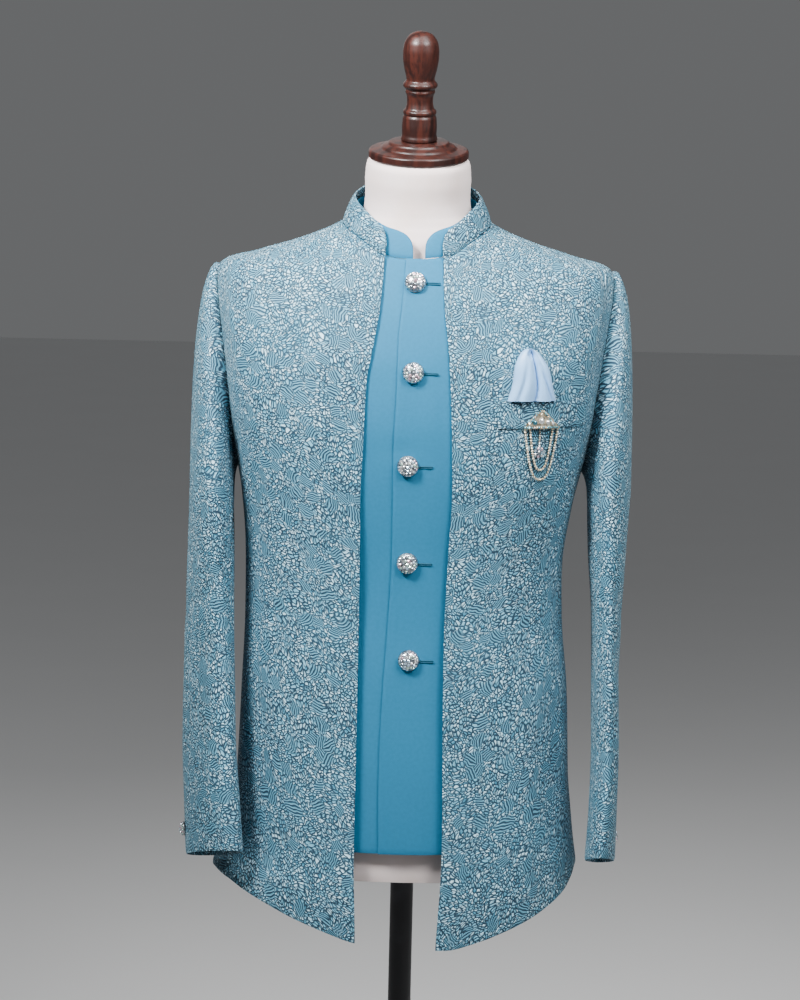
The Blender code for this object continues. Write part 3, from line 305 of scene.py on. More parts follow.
SLEEVE_FOLDS = table(
    "turn z lean length width depth",
    (70, 1.060, 62, 0.045, 0.012, -0.0026),
    (60, 1.000, 56, 0.050, 0.013, -0.0022),
    (-70, 1.045, -60, 0.045, 0.013, -0.0024),
    (20, 1.200, 4, 0.090, 0.018, -0.0016),
    (48, 0.880, 6, 0.080, 0.012, 0.0020),
)
SLEEVE_ARC_RADIUS = 0.050
CAP_OUT = 0.0205
CAP_PROUD = 0.0050
CAP_DROP = 0.68
FRONT_SLEEVE_SEAM = 135
BACK_SLEEVE_SEAM = -120
SLEEVE_STEP = 15
SLEEVE_HEAD_ROLL = 0.0012
SLEEVES = ((1, "left", SLEEVE_LEFT), (-1, "right", SLEEVE_RIGHT))

# Breast pocket and what it holds, placed as seen from the front
WELT = dict(left=0.0872, right=0.1800, bottom=1.2440, top=1.2720, thickness=0.0016)
SQUARE = dict(left=0.0975, right=0.1475, bottom=1.2726, top=1.3260, thickness=0.0062)
BROOCH = dict(middle=0.1340, half_bar=0.0185, half_plate=0.0172, bottom=1.2434, top=1.2632)
BROOCH_THICKNESS = 0.0026
CHAIN_RADIUS = 0.0013
CHAINS = table(
    "half_span top lowest",
    (0.0172, 1.2424, 1.1885),
    (0.0118, 1.2424, 1.1990),
)
DROP = dict(x=0.1325, top=1.2426, bottom=1.2110, half_width=0.0042, thickness=0.0030)

# Buttons: places as seen from the front on the waistcoat, and on the sleeves' back seams
BUTTONS = table(
    "x z",
    (-0.0006, 1.3916),
    (-0.0007, 1.2999),
    (-0.0041, 1.2024),
    (-0.0025, 1.0986),
    (0.0013, 0.9949),
)
BUTTON_RADIUS = 0.0112
BUTTON_HEIGHT = 0.0085
CUFF_BUTTON_RADIUS = 0.0080
CUFF_BUTTON_HEIGHT = 0.0060
CUFF_BUTTON_RISE = 0.026
CUFF_BUTTON_ANGLE = -35
BUTTON_SEAT = 0.0005
CUFF_BUTTON_SEAT = 0.0005

# Stand and turned wood
POLE_RADIUS = 0.0125
BASE_RADIUS = 0.190
CORNER_REACH = 0.0030
CORNER_SHARE = 0.45
BASE_HEIGHT = 0.018
BOSS_RADIUS = 0.024
BOSS_HEIGHT = 0.034
CAP_PROFILE = (
    (0.0000, 0.0185),
    (0.0200, 0.0185),
    (0.0315, 0.0175),
    (0.0330, 0.0150),
    (0.0385, 0.0128),
    (0.0400, 0.0105),
    (0.0515, 0.0092),
    (0.0530, 0.0075),
    (0.0530, 0.0014),
    (0.0518, 0.0000),
    (0.0000, 0.0000),
)
FINIAL_PROFILE = (
    (0.0000, 0.1160),
    (0.0060, 0.1152),
    (0.0125, 0.1120),
    (0.0175, 0.1050),
    (0.0192, 0.0960),
    (0.0190, 0.0860),
    (0.0172, 0.0755),
    (0.0150, 0.0670),
    (0.0148, 0.0640),
    (0.0182, 0.0605),
    (0.0182, 0.0575),
    (0.0150, 0.0545),
    (0.0160, 0.0520),
    (0.0140, 0.0480),
    (0.0136, 0.0400),
    (0.0150, 0.0340),
    (0.0176, 0.0320),
    (0.0176, 0.0290),
    (0.0164, 0.0275),
    (0.0178, 0.0250),
    (0.0186, 0.0150),
    (0.0182, 0.0060),
    (0.0192, 0.0030),
    (0.0192, 0.0000),
    (0.0000, 0.0000),
)

# Small creases that only show up close, added to the large folds above
JACKET_CREASES = table(
    "turn z lean length width depth",
    (-70, 1.215, 38, 0.045, 0.0075, -0.0012),
    (-66, 1.185, 52, 0.040, 0.0070, 0.0009),
    (-76, 1.070, 8, 0.060, 0.0100, -0.0012),
    (-56, 1.000, -6, 0.070, 0.0120, 0.0010),
    (-48, 1.060, 12, 0.060, 0.0100, -0.0009),
    (-72, 0.905, 5, 0.060, 0.0110, 0.0013),
    (-20, 1.180, 4, 0.080, 0.0110, -0.0007),
    (-33, 1.330, 24, 0.040, 0.0120, -0.0008),
    (68, 1.200, -40, 0.045, 0.0075, -0.0012),
    (64, 1.165, -52, 0.040, 0.0070, 0.0008),
    (74, 1.050, -6, 0.060, 0.0100, -0.0013),
    (56, 0.980, 8, 0.070, 0.0110, 0.0010),
    (47, 1.050, -9, 0.060, 0.0100, -0.0008),
    (70, 0.890, -4, 0.060, 0.0110, 0.0014),
    (22, 1.150, -5, 0.080, 0.0110, -0.0006),
    (36, 1.340, -22, 0.040, 0.0120, -0.0008),
    (-100, 1.150, 30, 0.050, 0.0090, -0.0012),
    (100, 1.150, -30, 0.050, 0.0090, -0.0012),
    (128, 1.090, -18, 0.070, 0.0110, 0.0011),
    (-131, 1.080, 20, 0.070, 0.0110, 0.0011),
    (158, 1.110, -82, 0.070, 0.0090, -0.0014),
    (-156, 1.090, 80, 0.060, 0.0090, -0.0012),
    (174, 1.430, 84, 0.060, 0.0080, -0.0008),
    (136, 1.330, -40, 0.050, 0.0120, -0.0009),
    (-138, 1.330, 42, 0.050, 0.0120, -0.0009),
)
WAISTCOAT_CREASES = table(
    "turn z lean length width depth",
    (-4, 1.010, 84, 0.022, 0.0055, -0.0010),
    (6, 1.116, 80, 0.024, 0.0060, -0.0009),
    (-5, 1.219, 82, 0.020, 0.0060, -0.0007),
    (-17, 1.060, 14, 0.060, 0.0090, -0.0009),
    (-19, 0.930, 4, 0.070, 0.0100, 0.0009),
    (14, 0.940, -4, 0.070, 0.0110, -0.0008),
    (-15, 1.330, 10, 0.050, 0.0090, -0.0007),
    (9, 0.860, -8, 0.050, 0.0090, 0.0006),
)
SLEEVE_CREASES = table(
    "turn z lean length width depth",
    (96, 1.085, 66, 0.030, 0.0065, -0.0017),
    (88, 1.035, 58, 0.032, 0.0070, -0.0015),
    (104, 0.990, 70, 0.026, 0.0060, -0.0012),
    (-88, 1.070, -62, 0.034, 0.0075, -0.0014),
    (-96, 1.010, -54, 0.030, 0.0070, -0.0010),
    (10, 1.290, 6, 0.060, 0.0090, -0.0010),
    (-30, 1.240, -8, 0.060, 0.0110, -0.0011),
    (36, 1.180, 14, 0.050, 0.0090, 0.0010),
    (28, 0.960, -5, 0.070, 0.0110, -0.0009),
    (-18, 0.900, 6, 0.070, 0.0120, 0.0009),
    (150, 1.120, 40, 0.040, 0.0080, -0.0012),
    (170, 0.960, 10, 0.060, 0.0100, -0.0010),
)
SQUARE_SHAPE = table(
    "up half shift",
    (0.00, 1.00, 0.00),
    (0.32, 0.82, 0.01),
    (0.63, 0.70, -0.04),
    (0.80, 0.54, -0.10),
    (0.91, 0.38, -0.14),
    (0.97, 0.24, -0.17),
    (1.00, 0.12, -0.18),
)
TURNED_EDGE = 0.0007
TURNED_WIDTH = 0.0017

# How finely the surfaces are drawn: points to each one of the solids, rows of a sleeve's cap and
# arm, and the steps that are added close to a grid's edges
FINER = 4
CAP_ROWS = 7 * FINER
ARM_ROWS = 12 * FINER
EDGE_STEPS = (0, 0.14, 0.36, 0.66)

# Stones and beads
BUTTON_STONES = table(
    "rise count size",
    (90.0, 1, 0.00200),
    (66.0, 7, 0.00175),
    (44.0, 13, 0.00170),
    (23.0, 18, 0.00165),
)
STONE_SEED = 11
BUTTON_TINTS = table(
    "share red green blue",
    (0.30, 0.92, 0.95, 0.97),
    (0.16, 0.66, 0.88, 0.80),
    (0.16, 0.88, 0.64, 0.72),
    (0.14, 0.60, 0.78, 0.92),
    (0.24, 0.26, 0.30, 0.34),
)
BROOCH_TINTS = table(
    "share red green blue",
    (0.38, 0.16, 0.52, 0.64),
    (0.22, 0.07, 0.26, 0.34),
    (0.22, 0.92, 0.94, 0.92),
    (0.18, 0.88, 0.74, 0.52),
)
BEAD_RADIUS = 0.00142
BEAD_PITCH = 0.00295
BUTTONHOLE = dict(start=0.0098, down=0.001, length=0.0165, width=0.0030, rise=0.0009)
DOME_SHARE = 0.93

# Studio, with the camera where the photograph was taken from
LOOK_AT = (-0.0115, 0.0, 1.150)
CAMERA_DISTANCE = 3.6
CAMERA_HEIGHT_ANGLE = math.radians(8.0)
CAMERA_ROLL = math.radians(1.3)
CAMERA_LENS = 120.4
SENSOR_HEIGHT = 36.0
FLOOR_HALF = 14.0
FLOOR_DROP = 0.0002
SURROUNDING = (0.86, 0.88, 0.90, 1.0)
SURROUNDING_STRENGTH = 0.16
LIGHTS = dict(
    key=dict(watts=19.0, size=0.55, at=(-0.95, -1.05, 2.55), aim=(0.0, 0.0, 1.55), spread=64.0),
    side=dict(watts=11.0, size=0.9, at=(0.95, -1.30, 2.60), aim=(0.0, 0.0, 1.55), spread=64.0),
    top=dict(watts=40.0, size=1.4, at=(0.5, -0.7, 3.2), aim=(0.0, 0.0, 1.2), spread=180.0),
    fill=dict(watts=8.0, size=1.8, at=(2.2, -1.8, 1.7), aim=(0.0, 0.0, 1.1), spread=180.0),
    behind=dict(watts=8.0, size=1.8, at=(-0.6, 2.6, 2.4), aim=(0.0, 0.0, 1.1), spread=180.0),
)


def read(source: Columns, column: str, at: Array | float) -> Array:
    """Read a table's column along a smooth curve that never overshoots its rows.

    A cubic runs between each two rows; its slope at a row is the harmonic mean of the slopes on
    both sides, or nothing where they turn round.

    Args:
        source: the table.
        column: the column to read.
        at: places along the table's first column.

    Returns:
        The column's values there.
    """
    xs, ys = source[next(iter(source))], source[column]
    run = np.diff(xs)
    slope = np.diff(ys) / run
    product = slope[:-1] * slope[1:]
    total = np.where(product > 0, slope[:-1] + slope[1:], 1.0)
    inner = np.where(product > 0, 2 * product / total, 0.0)
    tangent = np.concatenate(([slope[0]], inner, [slope[-1]]))
    at = np.clip(at, xs[0], xs[-1])
    i = np.clip(np.searchsorted(xs, at, side="right") - 1, 0, len(run) - 1)
    t = (at - xs[i]) / run[i]
    start, end = t * (1 - t) ** 2, t * t * (t - 1)
    rise = t * t * (3 - 2 * t) * (ys[i + 1] - ys[i])
    return ys[i] + rise + run[i] * (start * tangent[i] + end * tangent[i + 1])


def smoothstep(start: float, end: float, x: Array) -> Array:
    """Go from 0 at start to 1 at end, level at both."""
    t = np.clip((x - start) / (end - start), 0, 1)
    return t * t * (3 - 2 * t)


def fold_height(folds: Columns, turn: Array, z: Array, arc_radius: float) -> Array:
    """Sum soft ridges and troughs: depth times a bell across the fold times a bell along it.

    Args:
        folds: where each fold is, how it leans, and its length, width and depth.
        turn: angles round the surface.
        z: heights.
        arc_radius: how far a turn of one radian runs along the surface.

    Returns:
        The height of the folds at each point.
    """
    total = np.zeros(np.broadcast(turn, z).shape)
    for at, level, lean, length, width, depth in zip(*folds.values()):
        aside = np.angle(np.exp(1j * (turn - math.radians(at)))) * arc_radius
        above, tip = z - level, math.radians(lean)
        across = aside * math.cos(tip) - above * math.sin(tip)
        along = aside * math.sin(tip) + above * math.cos(tip)
        total = total + depth * np.exp(-((across / width) ** 2) - (along / length) ** 2)
    return total


def figure(turn: Array, z: Array) -> Array:
    """Give points of the form: an oval of changing squareness at each height.

    x is the half width times the sine of the turn, y the depth times its cosine, both over the
    root that puts the point on the oval; the neck's ovals are tilted to the front.

    Args:
        turn: angles from the centre front, positive towards +X.
        z: heights.

    Returns:
        Points of the surface.
    """
    sine, cosine = np.sin(turn), np.cos(turn)
    power = read(FIGURE, "squareness", z)
    reach = (np.abs(sine) ** power + np.abs(cosine) ** power) ** (-1 / power)
    depth = np.where(cosine > 0, read(FIGURE, "front", z), read(FIGURE, "back", z))
    aside = read(FIGURE, "half_width", z) * sine * reach
    forward = -depth * cosine * reach
    lift = forward * np.tan(np.radians(read(FIGURE, "tilt", z)))
    return np.stack([aside, read(FIGURE, "centre_y", z) + forward, z + lift], axis=-1)


def unit(vectors: Array) -> Array:
    """Scale vectors to length one."""
    return vectors / np.linalg.norm(vectors, axis=-1, keepdims=True)


def normals(surface: Callable, across: Array, up: Array, step: float = 0.001) -> Array:
    """Find outward normals: the cross product of the surface's two slopes.

    Args:
        surface: a function of two parameters, the first running to the right seen from outside.
        across: the first parameter.
        up: the second parameter.
        step: how far apart the slopes' points lie.

    Returns:
        Normals of length one.
    """
    side = surface(across + step, up) - surface(across - step, up)
    rise = surface(across, up + step) - surface(across, up - step)
    return unit(np.cross(side, rise))


def pair(turn: Array, z: Array) -> Array:
    """Join turns and heights into one array."""
    return np.stack(np.broadcast_arrays(turn, z), axis=-1)


def coons(bottom: Array, top: Array, near: Array, far: Array) -> Array:
    """Fill a four-sided patch: both ways' straight blends of the edges, less that of the corners.

    Args:
        bottom: the lower edge's points.
        top: the upper edge's points, as many.
        near: the first side's points.
        far: the other side's points, as many.

    Returns:
        The grid of points.
    """
    across = np.linspace(0, 1, bottom.shape[0])[None, :, None]
    up = np.linspace(0, 1, near.shape[0])[:, None, None]
    ruled = (1 - up) * bottom[None] + up * top[None]
    ruled = ruled + (1 - across) * near[:, None] + across * far[:, None]
    corners = (1 - up) * ((1 - across) * bottom[0] + across * bottom[-1])
    corners = corners + up * ((1 - across) * top[0] + across * top[-1])
    return ruled - corners


def climb(z: Array, back: bool = False) -> Array:
    """Give the length along the form's outline up to a height, or the height for a length."""
    levels = np.linspace(*OUTLINE_RANGE, 300)
    step = np.hypot(np.diff(levels), np.diff(read(FIGURE, "half_width", levels)))
    run = np.concatenate(([0], np.cumsum(step)))
    return np.interp(z, run, levels) if back else np.interp(z, levels, run)


def yoke_patch(bottom: Array, top: Array, near: Array, far: Array) -> Array:
    """Fill the part above the armpits, evenly along the outline of the shoulders.

    Args:
        bottom: the line at the armpits.
        top: the neckline and the shoulder.
        near: the first side's line.
        far: the other side's line.

    Returns:
        The grid of turns and heights.
    """
    edges = [np.stack([e[:, 0], climb(e[:, 1])], axis=-1) for e in (bottom, top, near, far)]
    grid = coons(*edges)
    return np.stack([grid[..., 0], climb(grid[..., 1], back=True)], axis=-1)


def border_steps(count: int) -> Array:
    """Give even steps from 0 to count with extra ones close to both ends."""
    ends = np.array(EDGE_STEPS)
    return np.concatenate((ends, np.arange(1, count), count - ends[::-1]))


def finer_borders(grid: Array) -> Array:
    """Add rows and columns close to a grid's four edges, for its turned edges."""
    rows, columns = grid.shape[0] - 1, grid.shape[1] - 1
    down, across = border_steps(rows), border_steps(columns)
    flat = grid.reshape(rows + 1, -1)
    tall = np.stack([np.interp(down, np.arange(rows + 1), line) for line in flat.T])
    tall = tall.T.reshape(len(down), columns + 1, -1)
    wide = tall.transpose(1, 0, 2).reshape(columns + 1, -1)
    wide = np.stack([np.interp(across, np.arange(columns + 1), line) for line in wide.T])
    return wide.T.reshape(len(across), len(down), -1).transpose(1, 0, 2)


def run_lengths(points: Array, axis: int) -> Array:
    """Give the length from the first point to each one along an axis of a grid."""
    step = np.linalg.norm(np.diff(points, axis=axis), axis=-1)
    start = np.zeros_like(np.take(step, [0], axis=axis))
    return np.concatenate((start, np.cumsum(step, axis=axis)), axis=axis)


def turn_edges(outer: Array, inner: Array) -> tuple[Array, Array]:
    """Round a wall's edges as turned cloth: both faces close in by a bell of the edge's distance.

    Args:
        outer: the outer face's grid.
        inner: the inner face's grid.

    Returns:
        The two faces, rounded.
    """
    distance = np.full(outer.shape[:2], np.inf)
    for axis in (0, 1):
        run = run_lengths(outer, axis)
        last = np.take(run, [-1], axis=axis)
        distance = np.minimum(distance, np.minimum(run, last - run))
    close = TURNED_EDGE * np.exp(-((distance / TURNED_WIDTH) ** 2))[..., None]
    out = unit(outer - inner)
    return outer - out * close, inner + out * close * 0.4


@dataclass(frozen=True)
class Layer:
    """One layer of cloth: the form's surface moved out by the layer's ease and folds."""

    ease: Columns
    folds: tuple[Columns, ...]
    neck: dict[str, float]
    hole: dict[str, float]
    hem: Callable[[Array], Array]

    def distance(self, turn: Array, z: Array) -> Array:
        """Blend the eases in front, aside and behind by squared cosine and sine, plus folds."""
        side = np.where(np.sin(turn) > 0, read(self.ease, "right", z), read(self.ease, "left", z))
        face = np.where(np.cos(turn) > 0, read(self.ease, "front", z), read(self.ease, "back", z))
        total = face * np.cos(turn) ** 2 + side * np.sin(turn) ** 2
        for folds in self.folds:
            total = total + fold_height(folds, turn, z, FOLD_ARC_RADIUS)
        return total

    def points(self, turn: Array, z: Array, lift: Array | float = 0.0) -> Array:
        """Give points of the outer face: the form's, moved along its normal, and lifted."""
        turn, z = np.broadcast_arrays(np.asarray(turn, float), np.asarray(z, float))
        out = normals(figure, turn, z, 0.0004)
        return figure(turn, z) + out * (self.distance(turn, z) + lift)[..., None]

    def under_front(self, x: Array, z: Array, lift: Array | float = 0.0) -> tuple[Array, Array]:
        """Find the turn and height for a point seen from the front, by six corrections.

        Args:
            x: distance across.
            z: height.
            lift: how far off the layer the point is.

        Returns:
            The turns and the heights on the form.
        """
        x, z = np.broadcast_arrays(np.asarray(x, float), np.asarray(z, float))
        aim_x, aim_z = x.copy(), z.copy()
        for _ in range(6):
            power = read(FIGURE, "squareness", aim_z)
            share = np.clip(np.abs(aim_x) / read(FIGURE, "half_width", aim_z), 1e-6, 0.99999)
            level = (share ** -power - 1) ** (1 / power)
            turn = np.sign(aim_x) * np.arctan2(1, level)
            found = self.points(turn, aim_z, lift)
            aim_x = aim_x + x - found[..., 0]
            aim_z = aim_z + z - found[..., 2]
        return turn, aim_z

    def neckline(self, turn: Array) -> Array:
        """Find the height where the layer crosses the neck's oval, by halving."""
        oval, power = self.neck, self.neck["squareness"]
        low, high = (np.full(np.shape(turn), level) for level in NECK_RANGE)
        for _ in range(30):
            middle = (low + high) / 2
            at = self.points(turn, middle)
            depth = np.where(at[..., 1] < oval["centre_y"], oval["front"], oval["back"])
            aside = np.abs(at[..., 0] / oval["half_width"]) ** power
            outside = aside + np.abs((at[..., 1] - oval["centre_y"]) / depth) ** power > 1
            low, high = np.where(outside, middle, low), np.where(outside, high, middle)
        return (low + high) / 2

    def armhole(self, angle: Array, shrink: float = 0.0) -> tuple[Array, Array]:
        """Give turn and height on the armhole's oval at an angle from its top."""
        size = self.hole
        half = (size["top"] - size["bottom"]) / 2 - shrink
        middle = (size["top"] + size["bottom"]) / 2
        reach = np.where(np.sin(angle) > 0, size["front"], size["back"]) - shrink / HOLE_ARC_RADIUS
        centre = math.pi / 2 + (SIDE_SEAM - math.pi / 2) * (1 - np.cos(angle)) / 2
        return centre - reach * np.sin(angle), middle + half * np.cos(angle)

    def even(self, turn: Array, z: Array, count: int) -> Array:
        """Space points evenly by length along a line drawn on the layer."""
        run = run_lengths(self.points(turn, z), 0)
        want = np.linspace(0, run[-1], count + 1)
        return pair(np.interp(want, run, turn), np.interp(want, run, z))

    def above_front(self, side: int, corner: float, counts: tuple[int, int]) -> Array:
        """Draw a front's neckline and shoulder, with turns on its own half."""
        neck_turn = np.linspace(corner, math.pi / 2 - SHOULDER_GAP, 60)
        neck_z = self.neckline(side * neck_turn)
        neck = self.even(side * neck_turn, neck_z, counts[0]) * [side, 1]
        fall = np.linspace(neck[-1, 1], self.hole["top"], 60)
        shoulder = self.even(np.full(60, side * neck_turn[-1]), fall, counts[1]) * [side, 1]
        return np.concatenate((neck, shoulder[1:]))

    def front(self, side: int, edge_x: Callable, counts: Sequence[int]) -> Array:
        """Lay a grid over a front: ruled from hem to armpit, then a patch up to the shoulder.

        Args:
            side: 1 for the front at +X, -1 for the other.
            edge_x: where the front edge stands at each height, seen from the front.
            counts: columns at neck and shoulder, rows below and above the armpit.

        Returns:
            Turns and heights, from the front edge to the side seam and from hem to shoulder.
        """
        neck_columns, shoulder_columns, skirt_rows, yoke_rows = counts
        share = np.linspace(0, 1, neck_columns + shoulder_columns + 1)
        pit, seam = self.hole["bottom"], SIDE_SEAM - SIDE_GAP
        low = float(self.hem(side * 0.25))
        for _ in range(4):
            low = float(self.hem(self.under_front(edge_x(low), low)[0]))
        rise = np.linspace(0, 1, skirt_rows + 1)
        level = low + (pit - low) * rise
        edge_turn, edge_z = self.under_front(edge_x(level), level)
        turn = side * edge_turn[:, None] * (1 - share) + seam * share
        hem = self.hem(side * turn[0]) + (edge_z[0] - self.hem(edge_turn[0])) * (1 - share)
        top = edge_z[-1] * (1 - share) + pit * share
        skirt = pair(turn, hem + (top - hem) * rise[:, None])

        level = 1.42
        for _ in range(10):
            corner = self.under_front(edge_x(level), level)[0]
            level = float(self.points(corner, self.neckline(corner))[..., 2])
        above = self.above_front(side, side * float(corner), (neck_columns, shoulder_columns))
        hole = pair(*self.armhole(np.linspace(math.pi, 0, yoke_rows + 1)))
        hole[0], hole[-1] = skirt[-1][-1], above[-1]
        near = self.even(*self.under_front(edge_x(np.linspace(pit, level, 60)),
                                           np.linspace(pit, level, 60)), yoke_rows) * [side, 1]
        near[0], near[-1] = skirt[-1][0], above[0]
        yoke = yoke_patch(skirt[-1], above, near, hole)
        return np.concatenate((skirt, yoke[1:])) * [side, 1]

    def back(self, counts: Sequence[int]) -> Array:
        """Lay a grid over the back, from the seam at +X round to the one at -X.

        Args:
            counts: columns at half the neck and at a shoulder, rows below and above the armpit.

        Returns:
            Turns and heights, from hem to shoulder.
        """
        neck_columns, shoulder_columns, skirt_rows, yoke_rows = counts
        columns = 2 * (neck_columns + shoulder_columns)
        pit = self.hole["bottom"]
        start, end = SIDE_SEAM + SIDE_GAP, 2 * math.pi - SIDE_SEAM - SIDE_GAP
        turn = start + (end - start) * np.linspace(0, 1, columns + 1)
        hem = self.hem(turn)
        skirt = pair(turn, hem + (pit - hem) * np.linspace(0, 1, skirt_rows + 1)[:, None])
        neck_turn = np.linspace(math.pi / 2 + SHOULDER_GAP, math.pi, 60)
        neck = self.even(neck_turn, self.neckline(neck_turn), neck_columns)
        fall = np.linspace(self.hole["top"], neck[0, 1], 60)
        shoulder = self.even(np.full(60, neck_turn[0]), fall, shoulder_columns)
        half = np.concatenate((shoulder[:-1], neck))
        above = np.concatenate((half, (half * [-1, 1] + [2 * math.pi, 0])[::-1][1:]))
        right = pair(*self.armhole(-np.linspace(math.pi, 0, yoke_rows + 1)))
        right[0], right[-1] = skirt[-1][0], above[0]
        left = right * [-1, 1] + [2 * math.pi, 0]
        left[0] = skirt[-1][-1]
        return np.concatenate((skirt, yoke_patch(skirt[-1], above, right, left)[1:]))

    def patch(self, x: Array, z: Array, lift: Array | float, thick: Array | float) -> tuple:
        """Give outer and inner faces of a piece lying on the layer, from its front view."""
        turn, level = self.under_front(x, z, lift)
        return self.points(turn, level, lift + thick), self.points(turn, level, lift)

    def seat(self, x: Array, z: Array, lift: float) -> tuple[Array, Array]:
        """Give places on the layer seen from the front at x and z, and the normals there."""
        turn, level = self.under_front(x, z, lift)
        return self.points(turn, level, lift), normals(self.points, turn, level, 0.004)


def jacket_hem(turn: Array) -> Array:
    """Give the height of the jacket's lower edge."""
    return read(HEM, "z", np.degrees(np.angle(np.exp(1j * np.asarray(turn, float)))))


def waistcoat_hem(turn: Array) -> Array:
    """Give the height of the waistcoat's lower edge."""
    return np.full(np.shape(turn), WAISTCOAT_HEM)


JACKET = Layer(JACKET_EASE, (JACKET_FOLDS, JACKET_CREASES), JACKET_NECK, JACKET_ARMHOLE, jacket_hem)
PLAIN_JACKET = Layer(JACKET_EASE, (JACKET_FOLDS,), JACKET_NECK, JACKET_ARMHOLE, jacket_hem)
WAISTCOAT = Layer(WAISTCOAT_EASE, (WAISTCOAT_CREASES,), WAISTCOAT_NECK, WAISTCOAT_ARMHOLE,
                  waistcoat_hem)
PLAIN_WAISTCOAT = Layer(WAISTCOAT_EASE, (), WAISTCOAT_NECK, WAISTCOAT_ARMHOLE, waistcoat_hem)


def foot_line(*lines: Array) -> Array:
    """Join the panels' top edges into one line for a collar to stand on."""
    joined = [lines[0].copy()]
    for line in lines[1:]:
        joined[-1][-1] = (joined[-1][-1] + line[0]) / 2
        joined.append(line[1:].copy())
    return np.concatenate(joined)


def clip_line(line: Array, x: float) -> Array:
    """Cut the front end of a line running away from the middle at a distance across."""
    first = int(np.argmax((np.abs(line[:, 0]) > abs(x)) & (np.sign(line[:, 0]) == np.sign(x))))
    before, after = line[first - 1], line[first]
    share = (x - before[0]) / (after[0] - before[0])
    return np.concatenate(([before + share * (after - before)], line[first:]))


def collar(line: Array, sizes: Columns, neck: dict[str, float], corner: float,
           thickness: float) -> tuple[Array, Array]:
    """Stand a collar on its foot line: it rises by its height, leaning in towards the neck.

    Near each front end the height falls along a rounded corner.

    Args:
        line: the foot line from the end at +X round the back.
        sizes: height and lean along it.
        neck: the neckline's oval, which gives the way outwards.
        corner: how long the rounded corners are.
        thickness: the collar's wall.

    Returns:
        Outer and inner faces.
    """
    run = run_lengths(line, 0)
    length = run[-1]
    ends = corner * np.array(COLLAR_END_STEPS)
    inside = run[(run > corner * 1.02) & (run < length - corner * 1.02)]
    along = np.concatenate((ends, inside, length - ends[::-1]))
    foot = np.stack([np.interp(along, run, line[:, i]) for i in range(3)], axis=-1)
    share = 1 - np.abs(2 * along / length - 1)
    from_end = np.minimum(along, length - along)
    bend = COLLAR_ROUNDNESS
    rounding = (1 - np.clip(1 - from_end / corner, 0, 1) ** bend) ** (1 / bend)
    height = read(sizes, "height", share) * (0.25 + 0.75 * rounding)
    lean = np.radians(read(sizes, "lean", share))[:, None]
    power, offset = neck["squareness"], foot[:, 1] - neck["centre_y"]
    depth = np.where(offset < 0, neck["front"], neck["back"])
    slope_x = np.sign(foot[:, 0]) * np.abs(foot[:, 0] / neck["half_width"]) ** (power - 1)
    slope_y = np.sign(offset) * np.abs(offset / depth) ** (power - 1)
    outward = unit(np.stack([slope_x / neck["half_width"], slope_y / depth, 0 * offset], axis=-1))
    upward = np.array([0.0, 0.0, 1.0])
    steps = border_steps(COLLAR_ROWS) / COLLAR_ROWS
    rise = steps[:, None, None] * height[None, :, None]
    bow = COLLAR_BOW * np.sin(math.pi * steps)[:, None, None]
    outer = foot + COLLAR_GAP * upward + rise * (np.cos(lean) * upward - np.sin(lean) * outward)
    out = np.cos(lean) * outward + np.sin(lean) * upward
    outer = outer + out * bow
    return outer, outer - out * thickness


